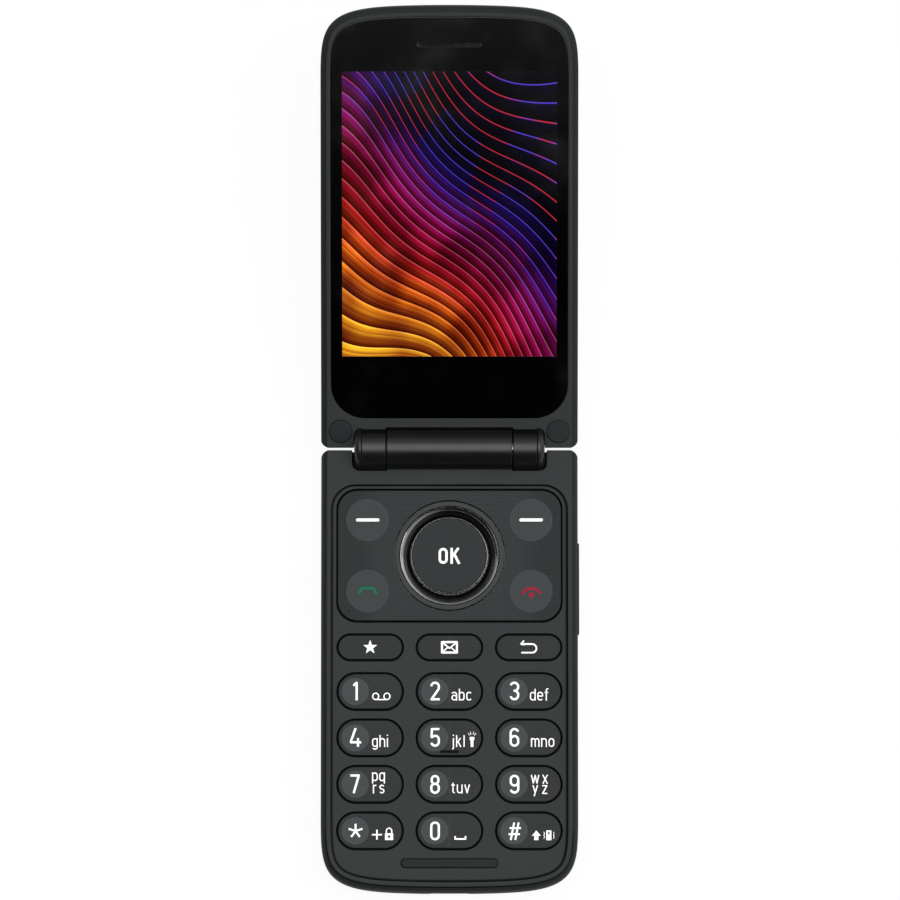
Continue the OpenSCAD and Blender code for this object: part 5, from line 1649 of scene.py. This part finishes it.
@dataclass
class KeySet:
    """The fifteen keys with their print. Print units are those of the photograph's frame at the keypad."""

    stroke: float = 2.2
    thin: float = 1.95
    middle: float = 17.4
    base: float = 8.6
    touch_bar: Point = (4.3, 0.62)
    touch_bar_v: float = 3.1
    nudge: dict[str, Point] = field(default_factory=lambda: {
        "1": (-0.4, 0.0), "7": (-0.6, 0.0), "0": (0.0, -0.6), "8": (0.0, -0.6), "9": (0.0, -0.4),
        "star": (0.0, -1.2), "hash": (0.0, -0.8)})

    def origin(self, column: int, row: int) -> Point:
        """Gives the lower left corner of a key's outline in leaf measures, where its print starts."""
        (x, v), (w, h) = KEYS.middle(column, row), KEYS.size(row)
        return x - w / 2, v + h / 2

    def number(self, node: str, sign: str, column: int, row: int, label: Label) -> None:
        """Builds a number key with its sign and its label.

        Args:
            node: Name of the key.
            sign: Name of the large sign.
            column: Column, from -1.
            row: Row, from 0.
            label: Draws the small print.
        """
        self.crown(node, column, row, Skin.KEY)
        ink = Print()
        strokes = big_strokes()[sign]
        dx, dy = self.nudge.get(sign, (0.0, 0.0))
        at = (self.middle - strokes[0] / 2 + dx, self.base + dy + self.stroke / 2)
        ink.glyph(strokes, at, self.stroke if len(sign) == 1 else self.thin)
        label(ink)
        self.lay(node, ink, self.origin(column, row))

    def lay(self, node: str, ink: Print, origin: Point, skin: Skin = Skin.WHITE,
            part: str = "print") -> None:
        """Lays print on a key."""
        Piece(f"{node}_{part}", node, (skin,), crease=40.0).build(ink.solid(origin, KEYS.top))

    def crown(self, node: str, column: int, row: int, skin: Skin) -> None:
        """Builds a key: a softly crowned top on a stem, and the flange that keeps it in the frame."""
        at, (w, h) = KEYS.middle(column, row), KEYS.size(row)
        top = crowned(shifted(pill(w, h), at), KEYS.top, KEYS.plate_low + 0.11, 0.25, 6)
        grow = 2 * KEYS.flange[0]
        flange = prism(shifted(pill(w + grow, h + grow), at), KEYS.plate_low + 0.1, KEYS.key_low)
        Piece(node + "_cap", node, (skin, Skin.PAINTED_SHADE), (node,), "key_plastic", 50.0, self.side, "key",
              at).build(combined(top, add=[flange]))

    @staticmethod
    def side(middle: np.ndarray, direction: np.ndarray) -> int:
        """Picks the side and flange of a key, which get black painted shade for the dark gap round it."""
        return int(direction[2] < 0.5 or middle[2] < -1.0)

    def slim(self) -> None:
        """Builds the three slim keys: star, message and back."""
        for column, node in enumerate(("star_key", "message_key", "back_key"), start=-1):
            self.crown(node, column, -1, Skin.SLIM_KEY)
        star = Print()
        star.shape([(r * math.cos(a), r * math.sin(a)) for r, a in zip((7.4, 3.0) * 5, sweep(90, 414, 9))])
        self.lay("star_key", star, KEYS.middle(-1, -1))
        letter = Print()
        letter.stroke([(-7.4, -5.2), (7.4, -5.2), (7.4, 5.2), (-7.4, 5.2), (-7.4, -5.2)], 2.1)
        letter.stroke([(-6.6, 4.4), (0, -0.9), (6.6, 4.4)], 1.5)
        for s in (-1, 1):
            letter.stroke([(s * 6.6, -4.6), (s * 2.0, -0.3)], 1.4)
        self.lay("message_key", letter, KEYS.middle(0, -1))
        back = Print()
        back.stroke([(-7.4, 3.3), *arc(3.4, -1.0, 4.3, 4.3, 90, -90, 12), (-6.6, -5.3)], 1.7)
        back.stroke([(-5.0, 6.2), (-7.6, 3.3), (-4.6, 2.6)], 1.6)
        self.lay("back_key", back, KEYS.middle(1, -1))

    def numbers(self) -> None:
        """Builds the twelve number keys, and the small bar on the 5 key."""
        for i, (node, sign, label) in enumerate(LABELS):
            self.number(node, sign, i % 3 - 1, i // 3, label)
        x, v = KEYS.middle(0, 1)
        bar = crowned(shifted(pill(*self.touch_bar), (x, v + self.touch_bar_v)), KEYS.top - 0.12,
                      KEYS.top + 0.1, 0.12, 5)
        # The bar is black: painted shade that stands for the shadow round the raised bar.
        Piece("key_5_touch_bar", "key_5", (Skin.PAINTED_SHADE,), crease=50.0).build(bar)

    def build(self) -> None:
        """Builds all keys."""
        self.slim()
        self.numbers()


@dataclass
class DirectionPad:
    """The plate round the ring, the ring with its bright cut edge and black dish, and the OK key."""

    ring_r: float = 12.3
    ok_r: float = 8.62
    top: float = 0.2
    flat_from: float = 11.05
    bevel_to: float = 10.34
    bevel_fall: float = 0.45
    dish_fall: float = 0.8
    groove: Point = (0.23, 0.2)
    corner: Point = (18.44, 8.06)
    dash: Point = (20.4, 3.1)

    def build_plate(self) -> None:
        """Builds the plate with its round opening, and the print of its four corner keys."""
        at = (0.0, KEYS.nav_v)
        top = crowned(KEYS.plate_outline(0.0), KEYS.top, KEYS.plate_low + 0.11, 0.2, 6)
        flange = prism(KEYS.plate_outline(KEYS.flange[1]), KEYS.plate_low + 0.1, KEYS.key_low)
        g = self.ring_r + KEYS.gap
        hole = revolved([(0.0, -3.0), (g, -3.0), (g, -KEYS.top - 0.06), (g + 0.06, -KEYS.top + 0.01),
                         (g + 0.06, 0.5), (0.0, 0.5)], at)
        Piece("ring_plate", "nav_plate", (Skin.NAV, Skin.PAINTED_SHADE), ("nav_plate",), "key_plastic", 50.0,
              KeySet.side, "key", at).build(combined(top, add=[flange], cut=[hole]))
        keys = KeySet()
        across, up = (c / PX for c in self.corner)
        dashes = Print()
        for x in (-across, across):
            dashes.stroke([(x + s * self.dash[0] / 2, up + 0.1) for s in (-1, 1)], self.dash[1])
        keys.lay("nav_plate", dashes, at, part="dashes")
        answer = Print()
        x, y = -across, -up + 0.4
        answer.stroke([(x - 9.0, y - 3.1), (x - 5.6, y + 2.6), (x + 5.6, y + 2.6), (x + 9.0, y - 3.1)], 2.6,
                      False)
        keys.lay("nav_plate", answer, at, Skin.GREEN, "answer")
        end = Print()
        x = across
        end.stroke([(x - 9.4, y - 2.9), *arc(x, y - 4.2, 8.4, 6.6, 155, 25, 12), (x + 9.4, y - 2.9)], 3.0,
                   False)
        end.shape([(x - 2.6, y - 2.0), (x - 3.4, y - 3.4), (x, y - 8.0), (x + 3.4, y - 3.4),
                   (x + 2.6, y - 2.0)])
        keys.lay("nav_plate", end, at, Skin.RED, "end_call")

    def build_ring(self) -> None:
        """Builds the ring: satin flat, bright cut bevel and the polished dish inside it."""
        at = (0.0, KEYS.nav_v)
        inner, t = self.ok_r + KEYS.gap, self.top
        edge = turned_edge(self.ring_r, -t, 0.12, 5)
        wide, (cut_w, cut_t) = self.flat_from - self.bevel_to, self.groove
        bevel = [(self.flat_from + cut_w, -t), (self.flat_from + cut_w - 0.02, -t - cut_t),
                 (self.flat_from + 0.01, -t - cut_t)]
        bevel += [(self.flat_from - wide * u, -t - 0.03 - self.bevel_fall * u * (0.5 + 0.5 * u))
                  for u in (i / 8 for i in range(9))]
        profile = [(inner, -KEYS.key_low), (self.ring_r, -KEYS.key_low), *edge, *bevel,
                   (self.bevel_to, -KEYS.plate_low), (inner, -KEYS.plate_low)]

        def choose(middle: np.ndarray, direction: np.ndarray) -> int:
            """The bevel is bright metal, the groove beside it gets black painted shade, the rest satin."""
            r = math.hypot(middle[0], middle[1] - KEYS.nav_v)
            if self.flat_from < r < self.flat_from + cut_w and middle[2] < -t - 0.01:
                return 2
            return int(self.bevel_to < r < self.flat_from and middle[2] > -t - 0.04 - self.bevel_fall
                       and direction[2] > 0.3)

        Piece("ring", "nav_ring", (Skin.RING, Skin.CUT, Skin.PAINTED_SHADE), ("nav_ring",), "ring_plastic",
              choose=choose).build(revolved(profile, at, 192))
        span = self.bevel_to - inner
        dish = [(self.bevel_to - span * u, -t - 0.03 - self.bevel_fall
                 - self.dish_fall * u * (1.12 - 0.12 * u)) for u in (i / 14 for i in range(15))]
        Piece("ring_dish", "nav_ring", (Skin.DISH,), ("nav_ring_inset",), "ring_gloss").build(
            revolved([(inner, -KEYS.plate_low), (self.bevel_to, -KEYS.plate_low), *dish], at, 192))

    def build_middle(self) -> None:
        """Builds the OK key with its thin bright edge and its two letters."""
        at = (0.0, KEYS.nav_v)
        t = self.top + 0.05
        rounding, line = 0.1, 0.16
        edge = turned_edge(self.ok_r, -t, rounding, 6)
        edge += [(self.ok_r - rounding - 0.01, -t - 0.05), (self.ok_r - rounding - line, -t - 0.05),
                 (self.ok_r - rounding - line - 0.01, -t - 0.005)]
        face = [(self.ok_r * u, -t - 0.06 * (1 - u * u)) for u in (0.85, 0.6, 0.3)]

        def choose(middle: np.ndarray, direction: np.ndarray) -> int:
            """The broken edge is bright metal, and the fine groove beside it gets black painted shade."""
            inwards = self.ok_r - math.hypot(middle[0], middle[1] - KEYS.nav_v)
            if rounding < inwards < rounding + line + 0.01:
                return 2
            return int(inwards < rounding * 0.98 and middle[2] > -t - rounding * 0.98)

        profile = [(0.0, -KEYS.key_low), (self.ok_r, -KEYS.key_low), *edge, *face, (0.0, -t - 0.06)]
        Piece("ok_cap", "ok_key", (Skin.OK, Skin.CUT, Skin.PAINTED_SHADE), ("ok_key",), "key_plastic", 60.0,
              choose=choose).build(revolved(profile, at, 192))
        ink = Print()
        signs = big_strokes()
        ink.glyph(signs["O"], (-9.6, -7.0), 2.5)
        ink.glyph(signs["K"], (2.2, -7.0), 2.5)
        Piece("ok_key_print", "ok_key", (Skin.WHITE,), crease=40.0).build(ink.solid(at, t + 0.06, 0.03))

    def build(self) -> None:
        """Builds the whole pad."""
        self.build_plate()
        self.build_ring()
        self.build_middle()


@dataclass
class ScreenHalf:
    """Mouldings, windows and small pieces of the screen half."""

    parting: float = 0.85
    rise: float = 1.6
    back_round: float = 3.2
    wall: float = 1.1
    plate_low: float = 1.95
    window_v: float = 6.95
    window_r: float = 7.7
    window_low: float = 0.85
    window_top: float = 0.05
    screen: Point = (48.3, 64.45)
    screen_v: float = 53.28
    panel: tuple[float, float, float] = (51.5, 70.7, 51.95)
    slot: Point = (14.5, 1.05)
    slot_v: float = 91.65
    earpiece: Point = (15.5, 6.0)
    earpiece_seat: Point = (16.0, 6.3)
    mesh_pitch: Point = (0.21, 0.26)
    bumper_at: Point = (24.56, 3.97)
    bumper_r: float = 2.58
    bumper_out: float = 0.4
    boss: Point = (2.2, 2.6)
    cam_seat: Point = (2.76, 2.085)
    flex_low: float = 4.4
    outer: tuple[float, float, float] = (34.0, 44.0, 49.0)
    outer_seat: float = 6.8
    camera_at: Point = (-6.0, 14.5)
    camera_r: float = 4.2
    camera_hole: float = 3.0
    torch_at: Point = (6.0, 14.5)
    torch_r: float = 2.0
    torch_hole: float = 1.2
    screw_low: float = 4.9

    @staticmethod
    def pair(one: Solid) -> Solid:
        """Joins something on the right and its mirror image on the left."""
        return Solid().join(one).join(one.flipped())

    def at_bumper(self, r: float, top: float, low: float) -> Solid:
        """Makes a disc at each bumper."""
        return self.pair(prism(shifted(disc(r, 48), self.bumper_at), top, low))

    def window_outline(self, gap: float) -> list[Point]:
        """Gives the window's outline, smaller by gap."""
        return LEAF.outline(LEAF.rim_inset + gap, self.window_v + gap, self.window_r - gap)

    def build_frame(self) -> None:
        """Builds the inner frame with the two outer barrels."""
        gone = HINGE.barrel_r + HINGE.turn_gap
        x0, x1 = HINGE.knuckle_x, HINGE.knuckle_end - HINGE.cap_w
        room = HINGE.round_end(0.0, HINGE.knuckle_end + 0.1, HINGE.barrel_r + 0.1, HINGE.knuckle_round)
        frame_body = combined(
            loft(rim_levels(self.parting)),
            add=[leaf_prism(LEAF.lip_inset, self.parting - 0.01, self.plate_low, LEAF.leaf_v0 + 0.6)],
            cut=[room, room.flipped(), rod(gone, -x0, x0)])
        barrel = HINGE.round_end(x0, x1, HINGE.barrel_r, 0.14, HINGE.broken)
        seat_r, flat = self.cam_seat
        keyed = combined(prism(disc(seat_r, 48), 0.0, 1.0), keep=[box(-flat, flat, -4, 4, -1, 2)])
        socket = Solid([(x0 - 1 - z * (x1 - x0 + 2), v, LEAF.face_to_axis + x) for x, v, z in keyed.points],
                       [tuple(reversed(f)) for f in keyed.faces])
        panel_w, panel_h, panel_v = self.panel
        window = prism(self.window_outline(0.0), -1.0, self.window_low)
        flare = ((-0.05, 0.09), (0.0, 0.08), (0.05, 0.02), (0.12, 0.0), (0.4, 0.0))
        window_edge = layered((d, self.window_outline(-g)) for d, g in flare)
        solid = combined(
            frame_body,
            add=[self.pair(barrel), self.pair(HINGE.block(x0, x1, HINGE.barrel_r)),
                 self.at_bumper(self.boss[0], self.parting, self.boss[1])],
            cut=[window, window_edge,
                 block((0.0, panel_v), (panel_w, panel_h), 0.0, self.plate_low + 1),
                 block((0.0, self.slot_v), self.earpiece_seat, 0.0, self.plate_low + 1),
                 socket, rod(HINGE.sleeve_r + 0.01, -HINGE.knuckle_end, 1 - x0),
                 *HINGE.flex_slot(HINGE.lid_flex, self.flex_low),
                 self.at_bumper(self.bumper_r + 0.09, -0.5, 0.5), self.at_bumper(1.5, 0.4, 1.4),
                 self.at_bumper(0.8, 1.3, 4.0)])

        def choose(middle: np.ndarray, direction: np.ndarray) -> int:
            """The barrels are satin with black painted shade on their far side, all else is painted."""
            if HINGE.on_barrel(middle) and abs(middle[0]) > x0 - 0.01:
                return 2 if middle[1] > 0.0 and direction[2] < HINGE.painted_shade_up else 1
            return 0

        Piece("screen_front", "lid", (Skin.BODY, Skin.BARREL, Skin.PAINTED_SHADE), ("lid_inner_frame",),
              "body_plastic", choose=choose).build(solid)

    def build_shell(self) -> None:
        """Builds the outer shell with the openings of its back."""
        gone = HINGE.barrel_r + HINGE.turn_gap
        x0, x1 = HINGE.knuckle_x - 0.1, HINGE.knuckle_end + 0.1
        w, h, v = self.outer
        deep = LEAF.lid_t + 1
        rounds, through = Solid(), Solid()
        for at, r, hole_r in ((self.camera_at, self.camera_r, self.camera_hole),
                              (self.torch_at, self.torch_r, self.torch_hole)):
            rounds.join(prism(shifted(disc(r + 0.05), at), self.outer_seat, deep))
            through.join(prism(shifted(disc(hole_r), at), 1.0, self.outer_seat + 0.1))
        solid = combined(
            loft(body_levels(LEAF.lid_t, self.parting, self.rise, self.back_round)),
            cut=[leaf_prism(LEAF.cavity_inset, 0.0, LEAF.lid_t - self.wall, LEAF.cavity_v, 1.5),
                 leaf_prism(LEAF.lip_inset - 0.1, 0.0, self.plate_low + 0.1, LEAF.leaf_v0 + 0.5),
                 rod(gone, -HINGE.knuckle_x, HINGE.knuckle_x),
                 self.pair(rod(HINGE.barrel_r + 0.1, x0, x1)),
                 self.pair(HINGE.block(x0, x1, HINGE.barrel_r + 0.1)),
                 self.at_bumper(self.boss[0] + 0.1, 0.0, self.boss[1] + 0.1),
                 self.at_bumper(0.6, 1.4, self.screw_low + 1.1),
                 *HINGE.flex_slot(HINGE.lid_flex, self.flex_low),
                 prism(shifted(rounded_rect(w + 0.1, h + 0.1, 3.0), (0, v)), self.outer_seat, deep),
                 prism(shifted(rounded_rect(w - 2, h - 2, 2.0), (0, v)), 0.0, self.outer_seat + 0.1), rounds,
                 through])
        Piece("screen_shell", "lid", (Skin.SIDE,), ("lid_outer_shell",), "side_plastic").build(solid)

    def build_window(self) -> None:
        """Builds the window: a polished black border, the lit picture and the slot of the earpiece."""
        gap, edge, lit_t = 0.06, 0.1, 0.012
        rings = [(self.window_top + d, self.window_outline(gap + i)) for d, i in quarter(edge, edge, 4)]
        slot = layered((d, shifted(pill(self.slot[0] + 2 * g, self.slot[1] + 2 * g), (0.0, self.slot_v)))
                       for d, g in ((-0.1, 0.07), (0.05, 0.07), (0.09, 0.02), (0.15, 0.0), (2.0, 0.0)))
        body = combined(layered([*rings, (self.window_low, self.window_outline(gap))]), cut=[slot])
        middle = (0.0, self.screen_v)
        body = combined(body,
                        cut=[block(middle, self.screen, self.window_top - 0.5, self.window_top + lit_t)])
        lit = block(middle, self.screen, self.window_top, self.window_top + lit_t)
        low = (-self.screen[0] / 2, self.screen_v - self.screen[1] / 2)
        Piece("main_window", "lid", (Skin.WINDOW,), ("display_window",), "window_gloss").build(body)
        Piece("main_picture", "lid", (Skin.PICTURE,), slot="screen", uv_name="screen", uv_origin=low,
              uv_size=self.screen).build(lit)
        speaker = combined(block((0.0, self.slot_v), self.earpiece, self.window_low, 3.45),
                           cut=[prism(shifted(pill(14.0, 1.55), (0, self.slot_v)), -0.5,
                                      self.window_low + 0.4)])
        grille, (step_x, step_v), wire = Solid(), self.mesh_pitch, 0.1
        for i in range(-33, 34):
            grille.join(block((i * step_x, self.slot_v), (wire, 1.24), 1.0, 1.06))
        for i in range(-2, 3):
            grille.join(block((0.0, self.slot_v + i * step_v), (13.96, wire), 1.07, 1.13))
        Piece("ear_speaker", "lid", (Skin.PLAIN,), ("earpiece",), "soft_rubber").build(speaker)
        Piece("ear_grille", "lid", (Skin.GRILLE,)).build(grille)

    def build_back(self) -> None:
        """Builds the outer window, the camera's glass with its ring, and the lamp's lens with its rings."""
        w, h, v = self.outer
        outline = shifted(rounded_rect(w, h, 2.95), (0, v))
        rings = [(LEAF.lid_t - d, inset_loop(outline, i)) for d, i in reversed(quarter(0.12, 0.12, 4))]
        Piece("outer_window_glass", "lid", (Skin.OUTER,), ("outer_window",), "window_gloss").build(
            layered([(self.outer_seat, outline), *rings]))
        deep, r = LEAF.lid_t, self.camera_r

        def choose(middle: np.ndarray, direction: np.ndarray) -> int:
            """A thin bright ring goes round the glass."""
            away = math.hypot(middle[0] - self.camera_at[0], middle[1] - self.camera_at[1])
            return int(r - 0.62 < away)

        profile = [(0.0, 0.05), (2.2, 0.05), (2.7, 0.12), (r - 0.6, 0.12), (r - 0.6, 0.04), (r - 0.52, 0.0),
                   (r - 0.12, 0.0), (r, 0.12)]
        lens = [*[(x, -deep + fall) for x, fall in profile], (r, -self.outer_seat), (0.0, -self.outer_seat)]
        Piece("camera_glass", "lid", (Skin.LENS, Skin.CUT), ("camera_lens",), "window_gloss",
              choose=choose).build(revolved(lens, self.camera_at, 96))
        r = self.torch_r
        steps = [(r * i / 12, -deep + (0.05 if i % 2 else 0.0)) for i in range(1, 10)]
        lamp = [(0.0, -deep), *steps, (r - 0.3, -deep), (r, -deep + 0.14), (r, -self.outer_seat),
                (0.0, -self.outer_seat)]
        chip = block(self.torch_at, (1.6, 1.6), 5.2, self.outer_seat)
        Piece("lamp_lens", "lid", (Skin.TORCH,), (), "torch_clear").build(revolved(lamp, self.torch_at, 96))
        Piece("lamp_chip", "lid", (Skin.FILM,), ("torch_lens",)).build(chip)

    def build_bumpers(self) -> None:
        """Builds the two discs that cover the lid's screws and meet the keypad half when it is shut."""
        r, out = self.bumper_r, self.bumper_out
        edge = [(r - 0.25 * (1 - math.cos(a)), out - 0.3 * (1 - math.sin(a))) for a in sweep(0, 90, 6)]
        profile = [(0.0, -0.5), (r - 0.02, -0.5), *edge, (0.0, edge[-1][1])]
        discs = self.pair(revolved(profile, self.bumper_at, 64))
        Piece("bumper_discs", "lid", (Skin.RUBBER,), ("lid_bumpers",), "soft_rubber", 45.0).build(discs)

    def build(self) -> None:
        """Builds the half."""
        self.build_frame()
        self.build_shell()
        self.build_window()
        self.build_back()
        self.build_bumpers()


@dataclass
class InnerParts:
    """The inner pieces, whose solids stay as they are and get their finishes here."""

    skins: dict[Skin, tuple[str, ...]] = field(default_factory=lambda: {
        Skin.BATTERY: ("battery_pack",),
        Skin.PLAIN: ("battery_terminals", "loudspeaker", "antenna_carrier", "lid_carrier", "camera_module"),
        Skin.TIN: ("sim_holder", "shield_cans", "display_panel", "vibration_motor", "lid_magnet"),
        Skin.BOARD: ("main_board", "lid_board", "side_key_switch"),
        Skin.FILM: ("dome_sheet", "hinge_flex", "microphone"),
        Skin.SILICONE: ("keypad_mat",),
        Skin.STEEL: ("base_screws", "lid_screws", "hinge_case", "hinge_spring", "hinge_shaft"),
        Skin.BRONZE: ("hinge_sleeve", "hinge_follower"),
        Skin.OUTER_SCREEN: ("outer_display",)})

    def build(self) -> None:
        """Dresses every node."""
        for skin, nodes in self.skins.items():
            for node in nodes:
                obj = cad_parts[node]
                coated(obj.data, (skin,))
                LOG.info("%s: %s", node, skin.value.name)


@dataclass
class Studio:
    """Camera, lamp, world and the pale floor. Distances are in metres, angles in degrees."""

    distance: float = 1.86895
    elevation: float = 83.1485
    aim: tuple[float, float, float] = (0.000128, 0.0499947, 0.01075)
    lens: float = 331.06
    lamp_at: tuple[float, float, float] = (0.38, 0.14, 1.9)
    lamp_size: Point = (2.55, 1.22)
    lamp_power: float = 37.4

    def camera(self) -> None:
        """Sets the camera at the photograph's viewing angle."""
        data = bpy.data.cameras.new("camera")
        data.lens, data.sensor_width, data.clip_end = self.lens, 36.0, 20.0
        obj = bpy.data.objects.new("camera", data)
        e = math.radians(self.elevation)
        back = Vector((0.0, -math.cos(e), math.sin(e)))
        obj.location = Vector(self.aim) + back * self.distance
        obj.rotation_euler = (-back).to_track_quat("-Z", "Y").to_euler()
        bpy.context.scene.collection.objects.link(obj)
        bpy.context.scene.camera = obj

    def lamp(self) -> None:
        """Adds the soft lamp, which looks straight down."""
        data = bpy.data.lights.new("soft top lamp", "AREA")
        data.shape, data.energy, (data.size, data.size_y) = "RECTANGLE", self.lamp_power, self.lamp_size
        obj = bpy.data.objects.new("soft top lamp", data)
        obj.location = Vector(self.lamp_at)
        obj.visible_camera = False
        bpy.context.scene.collection.objects.link(obj)

    def world(self) -> None:
        """Makes the room round the lamp, and white to the camera.

        Overhead it is half bright up to an edge on the near side, brighter at the far side, and the
        walls are brighter on the right than on the left.
        """
        world = bpy.data.worlds.new("studio")
        g = cleared(world)
        x, y, z = g.split(g.add("ShaderNodeTexCoord").outputs["Generated"])
        slope = g.math("DIVIDE", y, g.math("MAXIMUM", z, 0.02))
        near = g.math("DIVIDE", g.minus(g.times(slope, -1.0), 0.35), 0.07, True)
        fading = g.math("POWER", g.minus(1.0, near), 3.0)
        above = g.times(g.times(fading, 0.42), g.ramp(z, 0.45, 0.75))
        far = g.times(g.ramp(slope, 0.25, 0.5, 0.0, 0.65), g.ramp(slope, 0.55, 1.8, 1.0, 0.2))
        walls = g.times(g.ramp(x, 0.0, 0.95, 0.04, 0.8), g.ramp(z, 0.55, 0.82, 1.0, 0.0))
        room = g.plus(g.plus(above, g.times(far, g.ramp(z, 0.1, 0.3))), walls)
        shown = g.mix(g.add("ShaderNodeLightPath").outputs["Is Camera Ray"], g.vector(room, room, room),
                      (1.0, 1.0, 1.0))
        back = g.add("ShaderNodeBackground")
        g.feed(back.inputs["Color"], shown)
        g.feed(g.add("ShaderNodeOutputWorld").inputs["Surface"], back.outputs[0])
        bpy.context.scene.world = world

    def floor(self) -> None:
        """Lays the pale floor, which keeps the phone's shadow."""
        mesh = bpy.data.meshes.new("floor")
        reach, corner = 4.0, 0.5
        rim = [(reach * x, reach * y, 0.0) for x, y in rounded_rect(2.0, 2.0, corner)]
        mesh.from_pydata(rim, [], [tuple(range(len(rim)))])
        material = bpy.data.materials.new("pale floor")
        g = cleared(material)
        paper = g.noise(g.place(), 160.0, 3.0)
        shade = g.ramp(paper, 0.2, 0.8, 0.88, 0.94)
        matt = g.add("ShaderNodeBsdfDiffuse")
        g.feed(matt.inputs["Color"], g.vector(shade, shade, shade))
        glow = g.add("ShaderNodeEmission")
        path = g.add("ShaderNodeLightPath")
        mirrored = g.plus(path.outputs["Is Glossy Ray"], path.outputs["Is Transmission Ray"])
        seen = g.plus(path.outputs["Is Camera Ray"], mirrored, True)
        blend = g.add("ShaderNodeMixShader")
        g.feed(blend.inputs[0], g.times(seen, 0.93))
        g.feed(blend.inputs[1], matt.outputs[0])
        g.feed(blend.inputs[2], glow.outputs[0])
        g.feed(g.add("ShaderNodeOutputMaterial").inputs["Surface"], blend.outputs[0])
        mesh.materials.append(material)
        obj = bpy.data.objects.new("floor", mesh)
        bpy.context.scene.collection.objects.link(obj)

    def build(self) -> None:
        """Builds the studio."""
        self.camera()
        self.world()
        self.floor()
        self.lamp()
        bpy.context.scene.view_settings.view_transform = "Standard"


def main() -> None:
    """Builds the phone's pieces in order and reports each one."""
    logging.basicConfig(level=logging.INFO, format="%(message)s")
    build_effects()
    KeypadHalf().build()
    KeySet().build()
    DirectionPad().build()
    HINGE.build_caps()
    ScreenHalf().build()
    InnerParts().build()
    Studio().build()
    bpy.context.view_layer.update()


if __name__ == "__main__":
    main()
